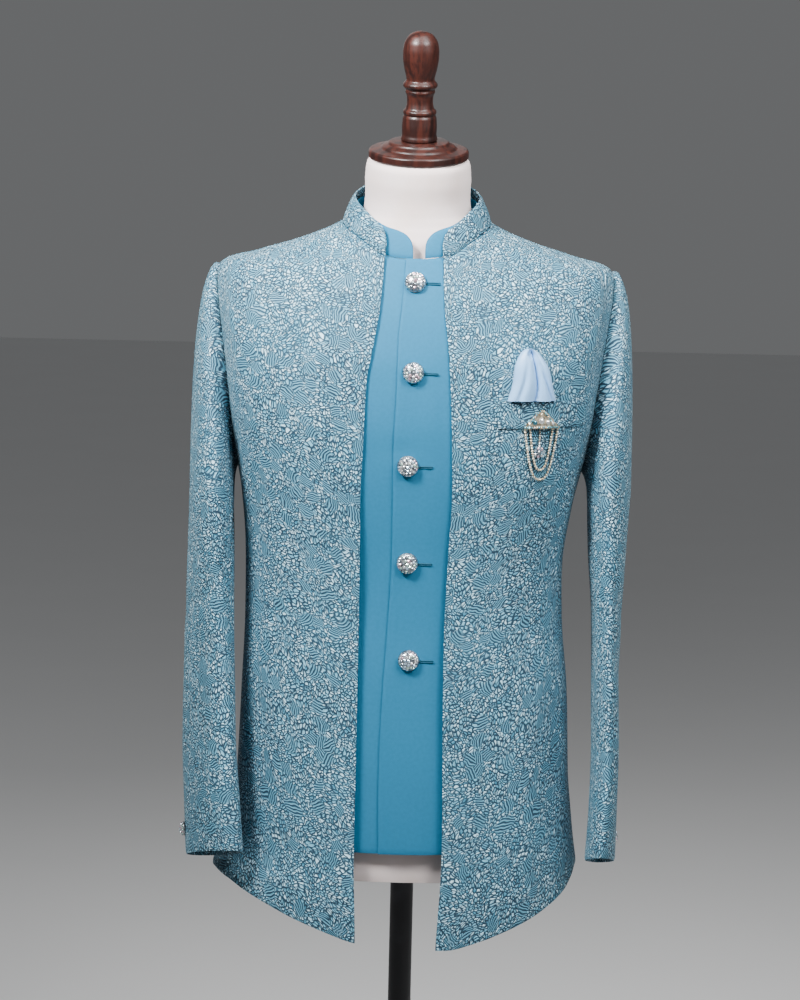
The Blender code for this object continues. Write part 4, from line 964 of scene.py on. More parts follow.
@dataclass(frozen=True)
class Sleeve:
    """A sleeve hanging from the jacket's armhole: a curved cap, then rings down to the cuff."""

    side: int
    sizes: Columns

    def ring(self, angle: Array, z: Array) -> Array:
        """Give points of the tube: a flat oval turned by its yaw and tipped by its lean."""
        thin, deep = read(self.sizes, "thin", z), read(self.sizes, "deep", z)
        yaw = np.radians(read(self.sizes, "yaw", z))
        lean = np.radians(read(self.sizes, "lean", z))
        out, forward = thin * np.cos(angle), deep * np.sin(angle)
        outward = out * np.cos(yaw) - forward * np.sin(yaw)
        ahead = out * np.sin(yaw) + forward * np.cos(yaw)
        return np.stack([
            self.side * (read(self.sizes, "out", z) + outward),
            read(self.sizes, "y", z) - ahead * np.cos(lean),
            z + ahead * np.sin(lean),
        ], axis=-1)

    def surface(self, angle: Array, run: Array) -> Array:
        """Give points by angle and run: 0 at the armhole, 1 under the arm, 2 at the cuff.

        The cap is a cubic curve at each angle, from the armhole outwards and then down onto the
        first ring.

        Args:
            angle: 0 outwards, a quarter turn to the front.
            run: how far down the sleeve.

        Returns:
            Points of the plain sleeve.
        """
        angle, run = np.broadcast_arrays(np.asarray(angle, float), np.asarray(run, float))
        cuff, arm = self.sizes["z"][0], self.sizes["z"][-1]
        turn, z = PLAIN_JACKET.armhole(angle, SEAM_GAP)
        start = PLAIN_JACKET.points(self.side * turn, z)
        top = (1 + np.cos(angle)) / 2
        end = self.ring(angle, np.full(angle.shape, arm))
        out = start.copy()
        out[..., 0] += self.side * CAP_OUT * (0.08 + 0.92 * top)
        out[..., 1] -= CAP_PROUD * np.sin(angle) * (0.3 + 0.7 * top)
        out[..., 2] += CAP_PROUD * top * 0.4
        over = end.copy()
        over[..., 2] += CAP_DROP * (start[..., 2] - end[..., 2])
        t = np.clip(run, -0.01, 1)[..., None]
        cap = (1 - t) ** 3 * start + 3 * t * (1 - t) ** 2 * out
        cap = cap + 3 * t * t * (1 - t) * over + t ** 3 * end
        down = np.maximum(run - 1, 0)
        arm_part = self.ring(angle, arm + (cuff - arm) * np.minimum(down, 1))
        arm_part[..., 2] += (cuff - arm) * np.maximum(down - 1, 0)
        return np.where(run[..., None] <= 1, cap, arm_part)

    def panel(self, first: float, last: float) -> tuple[Array, Array]:
        """Give outer and inner faces of one sleeve piece between two seams.

        Args:
            first: angle of the first seam, in degrees.
            last: angle of the other seam.

        Returns:
            The two faces, from the armhole to the cuff.
        """
        count = round((last - first) / SLEEVE_STEP) * FINER
        run = np.concatenate((np.linspace(0, 1, CAP_ROWS + 1), np.linspace(1, 2, ARM_ROWS + 1)[1:]))
        grid = pair(*np.meshgrid(np.radians(np.linspace(first, last, count + 1)), run))
        grid = finer_borders(grid)
        angle, run = grid[..., 0], grid[..., 1]
        at = self.surface(angle, run)
        out = normals(self.surface, angle, run, 0.002) * self.side
        raised = fold_height(SLEEVE_FOLDS, angle, at[..., 2], SLEEVE_ARC_RADIUS)
        raised = raised + fold_height(SLEEVE_CREASES, angle, at[..., 2], SLEEVE_ARC_RADIUS)
        raised = raised * smoothstep(0.0, 0.35, run) * (1 - smoothstep(1.8, 2.0, run))
        roll = SLEEVE_HEAD_ROLL * np.exp(-(((run - 0.10) / 0.07) ** 2)) * (1 + np.cos(angle)) / 2
        outer = at + out * (raised + roll)[..., None]
        inner = outer - out * JACKET_WALL
        for end, beside in ((0, 6), (-1, -7)):
            shift = unit(outer[:, beside] - outer[:, end]) * SEAM_GAP / 2
            fade = np.array([1.0, 0.86, 0.64, 0.34])[:, None, None]
            part = slice(0, 4) if end == 0 else slice(-1, -5, -1)
            moved = (fade * shift[None]).transpose(1, 0, 2)
            outer[:, part] += moved
            inner[:, part] += moved
        return outer, inner


class Socket:
    """A shader socket on which sums are written as Python expressions."""

    def __init__(self, graph: "Graph", socket: bpy.types.NodeSocket) -> None:
        """Wrap a socket of a graph."""
        self.graph = graph
        self.socket = socket

    def __add__(self, other: "Socket | float") -> "Socket":
        """Add."""
        return self.graph.maths("ADD", self, other)

    __radd__ = __add__

    def __sub__(self, other: "Socket | float") -> "Socket":
        """Subtract."""
        return self.graph.maths("SUBTRACT", self, other)

    def __rsub__(self, other: float) -> "Socket":
        """Subtract from a number."""
        return self.graph.maths("SUBTRACT", other, self)

    def __mul__(self, other: "Socket | float") -> "Socket":
        """Multiply."""
        return self.graph.maths("MULTIPLY", self, other)

    __rmul__ = __mul__


class Graph:
    """A material's nodes, with one Principled shader."""

    def __init__(self, name: str, roughness: float = 0.5, metallic: float = 0.0) -> None:
        """Start a material.

        Args:
            name: the material's name.
            roughness: its roughness where nothing varies it.
            metallic: how far it is metal where nothing varies it.
        """
        self.material = bpy.data.materials.new(name)
        self.material.use_nodes = True
        self.nodes = self.material.node_tree.nodes
        self.links = self.material.node_tree.links
        self.shader = self.nodes["Principled BSDF"]
        self.shader.inputs["Roughness"].default_value = roughness
        self.shader.inputs["Metallic"].default_value = metallic

    def node(self, kind: str, settings: dict | None = None,
             inputs: dict | None = None) -> bpy.types.Node:
        """Add a node.

        Args:
            kind: its type.
            settings: its own settings, set first.
            inputs: values or links of its sockets, by name or number.

        Returns:
            The node.
        """
        made = self.nodes.new(kind)
        for key, value in (settings or {}).items():
            if key == "stops":
                self.set_stops(made, value)
            else:
                setattr(made, key, value)
        for key, value in (inputs or {}).items():
            self.put(made.inputs[key], value)
        return made

    @staticmethod
    def set_stops(ramp: bpy.types.Node, stops: Sequence[tuple]) -> None:
        """Set a colour ramp's stops, each a place and a colour."""
        elements = ramp.color_ramp.elements
        for place, colour in stops[2:]:
            elements.new(place)
        for element, (place, colour) in zip(elements, stops):
            element.position = place
            element.color = (*colour, 1.0)

    def put(self, socket: bpy.types.NodeSocket, value: object) -> None:
        """Link a socket, or set its value."""
        if isinstance(value, Socket):
            self.links.new(value.socket, socket)
        elif socket.type == "RGBA" and len(value) == 3:
            socket.default_value = (*value, 1.0)
        else:
            socket.default_value = value

    def maths(self, operation: str, a: Socket | float, b: Socket | float = 0.0) -> Socket:
        """Add a Math node."""
        made = self.node("ShaderNodeMath", {"operation": operation}, {0: a, 1: b})
        return Socket(self, made.outputs[0])

    def mix(self, a: object, b: object, share: Socket | float, blend: str = "MIX") -> Socket:
        """Mix two colours."""
        made = self.node("ShaderNodeMix", {"data_type": "RGBA", "blend_type": blend},
                         {0: share, 6: a, 7: b})
        return Socket(self, made.outputs[2])

    def step(self, x: Socket, start: float, end: float, low: float = 0.0,
             high: float = 1.0) -> Socket:
        """Rise smoothly from low to high between two values."""
        made = self.node("ShaderNodeMapRange", {"interpolation_type": "SMOOTHSTEP"},
                         {"Value": x, "From Min": start, "From Max": end,
                          "To Min": low, "To Max": high})
        return Socket(self, made.outputs["Result"])

    def uv(self) -> Socket:
        """Read the cloth's own map, in metres."""
        return Socket(self, self.node("ShaderNodeUVMap", {"uv_map": "cloth"}).outputs["UV"])

    def place(self) -> Socket:
        """Read Object coordinates."""
        return Socket(self, self.node("ShaderNodeTexCoord").outputs["Object"])

    def noise(self, at: Socket, scale: float, detail: float = 2.0, output: str = "Fac") -> Socket:
        """Read a noise."""
        made = self.node("ShaderNodeTexNoise", {}, {"Vector": at, "Scale": scale, "Detail": detail})
        return Socket(self, made.outputs[output])

    def cells(self, at: Socket, feature: str = "F1", output: str = "Color") -> Socket:
        """Read a pattern of irregular cells about one unit wide."""
        made = self.node("ShaderNodeTexVoronoi", {"voronoi_dimensions": "2D", "feature": feature},
                         {"Vector": at, "Scale": 1.0})
        return Socket(self, made.outputs[output])

    def parts(self, vector: Socket) -> tuple[Socket, Socket, Socket]:
        """Split a vector or colour into three numbers."""
        made = self.node("ShaderNodeSeparateXYZ", {}, {0: vector})
        return tuple(Socket(self, output) for output in made.outputs)

    def join(self, x: Socket | float, y: Socket | float, z: Socket | float = 0.0) -> Socket:
        """Join three numbers into a vector."""
        return Socket(self, self.node("ShaderNodeCombineXYZ", {}, {0: x, 1: y, 2: z}).outputs[0])

    def colour(self, value: Socket | tuple) -> None:
        """Set what feeds the base colour."""
        self.put(self.shader.inputs["Base Color"], value)

    def rough(self, value: Socket) -> None:
        """Set what feeds the roughness."""
        self.put(self.shader.inputs["Roughness"], value)

    def constant(self, **values: object) -> None:
        """Set plain values of the shader's sockets, with underscores for spaces."""
        for key, value in values.items():
            self.put(self.shader.inputs[key.replace("_", " ")], value)

    def bump(self, height: Socket, distance: float, strength: float = 1.0) -> None:
        """Raise the surface by a height times a distance."""
        made = self.node("ShaderNodeBump", {}, {"Strength": strength, "Distance": distance,
                                                "Height": height})
        self.links.new(made.outputs["Normal"], self.shader.inputs["Normal"])


@dataclass(frozen=True)
class BrocadeFinish:
    """Textured jacket cloth: raised silvery grains on a teal ground, leaning in patches."""

    ground: Colour = (0.002, 0.026, 0.050)
    grain: Colour = (0.150, 0.425, 0.580)
    # bright: the colour that grains are painted towards as glints, a painted highlight
    bright: Colour = (0.540, 0.820, 0.960)
    leaf: Colour = (0.045, 0.225, 0.345)
    patch_size: float = 0.0170
    grain_length: float = 0.0047
    grain_width: float = 0.0026
    wander: float = 0.016
    leaf_bend: float = 0.009
    relief: float = 0.00070

    def make(self) -> Material:
        """Build the material.

        Cells of patch_size each turn the cloth's map by their own angle; in the turned map,
        cells of grain_length by grain_width are the grains, and in some patches long strokes
        side by side make a leaf.
        """
        g = Graph("brocade", 0.5)
        at = g.uv()
        warp = g.noise(at, 42.0, 2.0, "Color")
        x, y, _ = g.parts(at)
        wx, wy, _ = g.parts(warp)
        x, y = x + (wx - 0.5) * self.wander, y + (wy - 0.5) * self.wander
        broad = g.join(x * (1 / self.patch_size), y * (1 / self.patch_size))
        pick, chance, _ = g.parts(g.cells(broad))
        from_middle = g.cells(broad, "F1", "Distance")
        turn = pick * (2 * math.pi)
        cosine, sine = g.maths("COSINE", turn), g.maths("SINE", turn)
        along = (x * cosine + y * sine) * (1 / self.grain_length)
        across = (y * cosine - x * sine) * (1 / self.grain_width)
        local = g.join(along, across)
        edge = g.cells(local, "DISTANCE_TO_EDGE", "Distance")
        shade, glint, _ = g.parts(g.cells(local))
        raised = g.step(edge, 0.08, 0.33)
        bend = (x * cosine + y * sine) * (1 / self.leaf_bend)
        stroke_at = across + g.maths("SINE", bend) * 0.40
        stroke = g.step(g.maths("SINE", stroke_at * (2 * math.pi)), -0.45, 0.65)
        leaf = g.step(chance, 0.60, 0.64) * g.step(from_middle, 0.50, 0.34)
        height = raised * (1 - leaf) + stroke * leaf * 0.8
        grain = g.mix(self.leaf, self.grain, g.step(shade, 0.02, 0.42))
        # Grains picked at random by their glint value are painted brighter, towards bright: painted
        # glints of the silvery grains
        grain = g.mix(grain, self.bright, g.step(glint, 0.35, 1.0, 0.0, 0.90))
        leaf_colour = g.mix(self.grain, self.leaf, 0.35)
        top = g.mix(grain, leaf_colour, leaf)
        cloudy = g.noise(at, 9.0, 2.0)
        ground = g.mix(self.ground, self.leaf, g.step(cloudy, 0.40, 0.75, 0.0, 0.12))
        g.colour(g.mix(ground, top, height))
        g.rough(0.80 - height * 0.34)
        g.bump(height, self.relief)
        g.constant(Sheen_Weight=0.05, Sheen_Roughness=0.45, Sheen_Tint=(0.75, 0.92, 1.0))
        return g.material


@dataclass(frozen=True)
class SuitingFinish:
    """Plain teal suiting: a fine twill with a soft sheen."""

    name: str = "teal_suiting"
    base: Colour = (0.009, 0.132, 0.250)
    thread: float = 0.00045

    def make(self) -> Material:
        """Build the material: diagonal ribs of thread width, and a faint uneven shade."""
        g = Graph(self.name, 0.62)
        x, y, _ = g.parts(g.uv())
        rib = g.maths("SINE", (x + y) * (2 * math.pi / self.thread / 2.0))
        weft = g.maths("SINE", (x - y) * (2 * math.pi / self.thread / 4.0))
        uneven = g.noise(g.uv(), 260.0, 2.0)
        shade = g.step(uneven, 0.30, 0.70)
        dark = tuple(c * 0.93 for c in self.base)
        light = tuple(min(1.0, c * 1.06) for c in self.base)
        g.colour(g.mix(dark, light, shade * 0.7 + (rib * 0.5 + 0.5) * 0.3))
        g.rough(0.60 + shade * 0.08)
        g.bump(rib * 0.6 + weft * 0.4 + uneven * 0.8, 0.00006, 0.7)
        g.constant(Sheen_Weight=0.05, Sheen_Roughness=0.35, Sheen_Tint=(0.30, 0.75, 0.90),
                   Specular_IOR_Level=0.20)
        return g.material


@dataclass(frozen=True)
class SilkFinish:
    """Pale blue satin of the pocket square."""

    base: Colour = (0.250, 0.480, 0.800)
    thread: float = 0.0005

    def make(self) -> Material:
        """Build the material: a low gloss with very fine threads."""
        g = Graph("pale_silk", 0.38)
        at = g.uv()
        x, _, _ = g.parts(at)
        thread = g.maths("SINE", x * (2 * math.pi / self.thread))
        shade = g.noise(at, 220.0, 2.0)
        g.colour(g.mix(tuple(c * 0.93 for c in self.base), self.base, shade))
        g.rough(0.34 + shade * 0.10)
        g.bump(thread + shade, 0.00003, 0.5)
        g.constant(Sheen_Weight=0.2, Sheen_Roughness=0.3, Anisotropic=0.4)
        return g.material


@dataclass(frozen=True)
class StoneFinish:
    """Clear stones over foil, each with its own faint tint."""

    def make(self) -> Material:
        """Build the material from the tint that each stone carries."""
        g = Graph("clear_stones", 0.07, 0.82)
        tint = Socket(g, g.node("ShaderNodeAttribute", {"attribute_name": "tint"}).outputs["Color"])
        g.colour(tint)
        g.rough(0.05 + g.noise(g.place(), 900.0, 1.0) * 0.10)
        g.constant(Coat_Weight=0.6, Coat_Roughness=0.03, IOR=1.6)
        return g.material


@dataclass(frozen=True)
class SilverFinish:
    """Polished settings, darker in random patches, of silver unless told otherwise."""

    name: str = "silver_setting"
    dark: Colour = (0.070, 0.075, 0.085)
    light: Colour = (0.480, 0.490, 0.500)

    def make(self) -> Material:
        """Build the material: bright metal, darker in random patches."""
        g = Graph(self.name, 0.28, 0.90)
        mottle = g.noise(g.place(), 420.0, 3.0)
        g.colour(g.mix(self.dark, self.light, g.step(mottle, 0.32, 0.62)))
        g.rough(0.18 + mottle * 0.25)
        g.bump(mottle, 0.00008, 0.5)
        return g.material


@dataclass(frozen=True)
class CoverFinish:
    """Cream cotton stretched over the form."""

    base: Colour = (0.700, 0.605, 0.590)
    thread: float = 0.0009

    def make(self) -> Material:
        """Build the material: a plain weave, and faint smudges of use."""
        g = Graph("cream_cover", 0.78)
        x, _, z = g.parts(g.place())
        waves = 2 * math.pi / self.thread
        weave = g.maths("SINE", x * waves) * g.maths("SINE", z * waves)
        smudge = g.noise(g.place(), 14.0, 4.0)
        used = tuple(c * k for c, k in zip(self.base, (0.93, 0.90, 0.86)))
        g.colour(g.mix(self.base, used, g.step(smudge, 0.42, 0.72)))
        g.rough(0.74 + smudge * 0.12)
        g.bump(weave * 0.5 + g.noise(g.place(), 700.0, 2.0), 0.00007, 0.6)
        g.constant(Sheen_Weight=0.15)
        return g.material


@dataclass(frozen=True)
class WoodFinish:
    """Dark red-brown turned wood under gloss varnish."""

    dark: Colour = (0.010, 0.0030, 0.0024)
    light: Colour = (0.045, 0.0105, 0.0065)

    def make(self) -> Material:
        """Build the material: grain is noise drawn out along the height, banded by rings."""
        g = Graph("varnished_wood", 0.30)
        x, y, z = g.parts(g.place())
        long = g.join(x * 90.0, y * 90.0, z * 9.0)
        grain = g.noise(long, 1.0, 5.0)
        rings = g.maths("SINE", grain * 26.0 + x * 160.0)
        pores = g.noise(g.join(x * 700.0, y * 700.0, z * 45.0), 1.0, 2.0)
        shade = g.step(rings * 0.16 + grain, 0.15, 0.95)
        colour = g.mix(self.dark, self.light, shade)
        g.colour(g.mix(colour, self.dark, g.step(pores, 0.56, 0.70, 0.0, 0.65)))
        g.rough(0.34 + pores * 0.14)
        g.bump(pores, 0.00005, 0.4)
        g.constant(Coat_Weight=0.10, Coat_Roughness=0.20, Specular_IOR_Level=0.32)
        return g.material


@dataclass(frozen=True)
class StandFinish:
    """Satin black paint on steel."""

    base: Colour = (0.012, 0.012, 0.014)

    def make(self) -> Material:
        """Build the material: fine orange-peel and a few rubbed places."""
        g = Graph("black_paint", 0.42, 0.15)
        peel = g.noise(g.place(), 260.0, 2.0)
        rubbed = g.noise(g.place(), 22.0, 4.0)
        g.colour(g.mix(self.base, tuple(c * 2.4 for c in self.base), g.step(rubbed, 0.5, 0.75)))
        g.rough(0.36 + rubbed * 0.16)
        g.bump(peel, 0.00006, 0.4)
        return g.material


@dataclass(frozen=True)
class FloorFinish:
    """Plain pale studio floor."""

    base: Colour = (0.85, 0.85, 0.85)

    def make(self) -> Material:
        """Build the material: nearly even, very slightly mottled."""
        g = Graph("pale_floor", 0.8)
        g.colour(g.mix(self.base, tuple(c * 0.97 for c in self.base), g.noise(g.place(), 3.0, 2.0)))
        return g.material


def add_object(name: str, data: bpy.types.ID, place: Matrix | None = None) -> bpy.types.Object:
    """Put an object with its data into the scene, at a place if one is given."""
    made = bpy.data.objects.new(name, data)
    if place is not None:
        made.matrix_world = place
    bpy.context.scene.collection.objects.link(made)
    return made


def axes_matrix(x: Array, y: Array, z: Array, at: Sequence[float]) -> Matrix:
    """Make a place from the directions of its three axes and its origin."""
    place = np.eye(4)
    place[:3] = np.stack([x, y, z, at], axis=-1)
    return Matrix(place.tolist())


def new_piece(name: str, points: Array, faces: list, finish: Material,
              uv: Array | None = None, sharp: float = 50.0) -> bpy.types.Object:
    """Make an object from points and faces, in place, riding on the frame.

    Args:
        name: the object's name.
        points: its vertices.
        faces: its faces, pointing outwards.
        finish: its material.
        uv: each vertex's place on the cloth, in metres.
        sharp: edges that turn by more degrees than this stay sharp.

    Returns:
        The object.
    """
    mesh = bpy.data.meshes.new(name)
    mesh.from_pydata(points.tolist(), [], faces)
    if uv is not None:
        index = np.empty(len(mesh.loops), int)
        mesh.loops.foreach_get("vertex_index", index)
        layer = mesh.uv_layers.new(name="cloth")
        layer.data.foreach_set("uv", uv[index].astype(np.float32).ravel())
    mesh.shade_smooth()
    mesh.set_sharp_from_angle(angle=math.radians(sharp))
    mesh.materials.append(finish)
    made = add_object(name, mesh)
    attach(made, "root")
    LOG.info("%s: %d faces", name, len(faces))
    return made


def grid_faces(rows: int, columns: int, start: int = 0) -> Array:
    """Give the four-sided faces of a grid of points numbered row by row."""
    index = start + np.arange(rows * columns).reshape(rows, columns)
    return np.stack([index[:-1, :-1], index[:-1, 1:], index[1:, 1:], index[1:, :-1]],
                    axis=-1).reshape(-1, 4)


def wall_piece(name: str, outer: Array, inner: Array, finish: Material,
               flip: bool = False, level_row: int | None = None) -> bpy.types.Object:
    """Make a closed wall of cloth between two grids of points, with its map in metres.

    Args:
        name: the object's name.
        outer: the outer face's grid.
        inner: the inner face's grid.
        finish: its material.
        flip: whether the grid's columns run to the left seen from outside.
        level_row: a row that the map is laid out from, so that rows above it take its width.

    Returns:
        The object.
    """
    if flip:
        outer, inner = outer[:, ::-1], inner[:, ::-1]
    rows, columns = outer.shape[:2]
    count = rows * columns
    index = np.arange(count).reshape(rows, columns)
    front = grid_faces(rows, columns)
    rim = np.concatenate([index[0], index[1:, -1], index[-1, -2::-1], index[-2:0:-1, 0]])
    after = np.roll(rim, -1)
    sides = np.stack([after, rim, rim + count, after + count], axis=-1)
    faces = np.concatenate([front, front[:, ::-1] + count, sides]).tolist()
    across, along = run_lengths(outer, 1), run_lengths(outer, 0)
    if level_row is not None:
        across = across - across[:, [columns // 2]]
        across[:level_row] = across[level_row]
        along = along - along[level_row]
    uv = np.stack([across, along], axis=-1).reshape(-1, 2)
    points = np.concatenate([outer.reshape(-1, 3), inner.reshape(-1, 3)])
    return new_piece(name, points, faces, finish, np.concatenate([uv, uv]))


def turned_piece(name: str, profile: Array, steps: int, place: Matrix,
                 finish: Material) -> bpy.types.Object:
    """Turn a profile of radius and height about its axis.

    A point is radius times the cosine and sine of its angle, and the height; both ends of the
    profile lie on the axis and are one point each.

    Args:
        name: the object's name.
        profile: rows of radius and height, from the top on the axis to the bottom on it.
        steps: how many sides.
        place: where the axis stands.
        finish: its material.

    Returns:
        The object.
    """
    angle = np.linspace(0, 2 * math.pi, steps, endpoint=False)
    body = profile[1:-1]
    rings = np.stack([body[:, :1] * np.cos(angle), body[:, :1] * np.sin(angle),
                      np.repeat(body[:, 1:], steps, axis=1)], axis=-1).reshape(-1, 3)
    points = np.concatenate([rings, [[0, 0, profile[0, 1]], [0, 0, profile[-1, 1]]]])
    index = np.arange(len(body) * steps).reshape(-1, steps)
    after = np.roll(index, -1, axis=1)
    sides = np.stack([index[1:], after[1:], after[:-1], index[:-1]], axis=-1).reshape(-1, 4)
    top = np.stack([index[0], after[0], np.full(steps, len(rings))], axis=-1)
    bottom = np.stack([after[-1], index[-1], np.full(steps, len(rings) + 1)], axis=-1)
    turned = np.array(place)
    points = points @ turned[:3, :3].T + turned[:3, 3]
    faces = sides.tolist() + top.tolist() + bottom.tolist()
    return new_piece(name, points, faces, finish, sharp=38)


def smooth_profile(profile: Sequence[Sequence[float]], count: int = 8) -> Array:
    """Round a turned profile's corners: a short curve replaces each corner.

    Each corner is cut along both its lines, by CORNER_REACH or by CORNER_SHARE of the shorter
    line where that is less, and bridged by a curve that starts and ends along them.

    Args:
        profile: rows of radius and height.
        count: points on each curve.

    Returns:
        The rounded profile.
    """
    corner = np.array(profile, float)
    t = np.linspace(0, 1, count)[:, None]
    made = [corner[:1]]
    for before, at, after in zip(corner[:-2], corner[1:-1], corner[2:]):
        back, ahead = before - at, after - at
        reach = min(CORNER_REACH, CORNER_SHARE * min(np.linalg.norm(back), np.linalg.norm(ahead)))
        a, b = at + unit(back) * reach, at + unit(ahead) * reach
        made.append((1 - t) ** 2 * a + 2 * t * (1 - t) * at + t * t * b)
    return np.concatenate(made + [corner[-1:]])


def axes_for(out: Array) -> tuple[Array, Array]:
    """Give two directions square to each outward one."""
    helper = np.where(np.abs(out[..., 2:]) < 0.9, [[0.0, 0.0, 1.0]], [[0.0, 1.0, 0.0]])
    aside = unit(np.cross(helper, out))
    return aside, np.cross(out, aside)


def stones_piece(name: str, centres: Array, out: Array, radii: Array, finish: Material,
                 seed: int, palette: Columns = BUTTON_TINTS, sides: int = 8) -> bpy.types.Object:
    """Set cut stones: a girdle, two narrower rings and a low top above it, and a point below.

    Args:
        name: the object's name.
        centres: where each stone's girdle stands.
        out: which way each one faces.
        radii: each one's radius.
        finish: its material.
        seed: what the turns and tints start from.
        palette: the tints and how many in all have each.
        sides: how many facets go round.

    Returns:
        The object.
    """
    rng = np.random.default_rng(seed)
    count = len(centres)
    aside, ahead = axes_for(out)
    spin = rng.uniform(0, 2 * math.pi, count)[:, None]
    angle = np.linspace(0, 2 * math.pi, sides, endpoint=False)[None] + spin
    rings = []
    for share, rise, shift in ((1.0, 0.0, 0.0), (0.80, 0.30, 0.5), (0.48, 0.48, 0.0)):
        turned = angle + shift * 2 * math.pi / sides
        flat = np.cos(turned)[..., None] * aside[:, None]
        flat = flat + np.sin(turned)[..., None] * ahead[:, None]
        rings.append(centres[:, None] + radii[:, None, None] * (share * flat + rise * out[:, None]))
    top = centres[:, None] + radii[:, None, None] * 0.50 * out[:, None]
    foot = centres[:, None] - radii[:, None, None] * 0.55 * out[:, None]
    points = np.concatenate(rings + [top, foot], axis=1)
    i = np.arange(sides)
    j = (i + 1) % sides
    faces = []
    for a in (0, 1):
        low, high = a * sides, (a + 1) * sides
        faces += np.stack([low + i, low + j, high + (j if a else i)], axis=-1).tolist()
        faces += np.stack([low + (i if a else j), high + j, high + i], axis=-1).tolist()
    faces += np.stack([2 * sides + i, 2 * sides + j, np.full(sides, 3 * sides)], axis=-1).tolist()
    faces += np.stack([j, i, np.full(sides, 3 * sides + 1)], axis=-1).tolist()
    size = 3 * sides + 2
    every = (np.array(faces)[None] + (np.arange(count) * size)[:, None, None]).reshape(-1, 3)
    made = new_piece(name, points.reshape(-1, 3), every.tolist(), finish, sharp=5)
    tints = np.stack([palette["red"], palette["green"], palette["blue"]], axis=-1)
    pick = rng.choice(len(tints), count, p=palette["share"])
    colour = np.repeat(np.column_stack([tints[pick], np.ones(count)]), size, axis=0)
    layer = made.data.color_attributes.new(name="tint", type="FLOAT_COLOR", domain="POINT")
    layer.data.foreach_set("color", colour.astype(np.float32).ravel())
    return made


def beads_piece(name: str, centres: Array, radius: float, finish: Material,
                sides: int = 7, rings: int = 4) -> bpy.types.Object:
    """String beads, each a low ball about its centre.

    Args:
        name: the object's name.
        centres: each bead's centre.
        radius: the beads' radius.
        finish: their material.
        sides: how many points go round a ball.
        rings: how many rows of them it has between its two ends.

    Returns:
        The object.
    """
    up = np.linspace(0, math.pi, rings + 2)[1:-1]
    around = np.linspace(0, 2 * math.pi, sides, endpoint=False)
    ball = np.stack([np.outer(np.sin(up), np.cos(around)), np.outer(np.sin(up), np.sin(around)),
                     np.outer(np.cos(up), np.ones(sides))], axis=-1).reshape(-1, 3)
    ball = np.concatenate([ball, [[0, 0, 1], [0, 0, -1]]]) * radius
    i = np.arange(sides)
    j = (i + 1) % sides
    last, count = (rings - 1) * sides, rings * sides
    faces = []
    for low in range(0, last, sides):
        high = low + sides
        faces += np.stack([high + i, high + j, low + j], axis=-1).tolist()
        faces += np.stack([high + i, low + j, low + i], axis=-1).tolist()
    faces += np.stack([i, j, np.full(sides, count)], axis=-1).tolist()
    faces += np.stack([last + j, last + i, np.full(sides, count + 1)], axis=-1).tolist()
    points = (centres[:, None] + ball[None]).reshape(-1, 3)
    starts = (np.arange(len(centres)) * len(ball))[:, None, None]
    every = (np.array(faces)[None] + starts).reshape(-1, 3)
    return new_piece(name, points, every.tolist(), finish, sharp=70)


def from_finish(kind: type, *values: object) -> Material:
    """Give a field whose material is made from a finish and its values."""
    return field(default_factory=lambda: kind(*values).make())


@dataclass
class Wardrobe:
    """Every finish, made once."""

    brocade: Material = from_finish(BrocadeFinish)
    suiting: Material = from_finish(SuitingFinish)
    thread: Material = from_finish(SuitingFinish, "buttonhole_thread", (0.006, 0.060, 0.105))
    silk: Material = from_finish(SilkFinish)
    stone: Material = from_finish(StoneFinish)
    silver: Material = from_finish(SilverFinish)
    gilt: Material = from_finish(SilverFinish, "pale_gilt", (0.420, 0.330, 0.220),
                                 (0.950, 0.860, 0.680))
    cover: Material = from_finish(CoverFinish)
    wood: Material = from_finish(WoodFinish)
    paint: Material = from_finish(StandFinish)


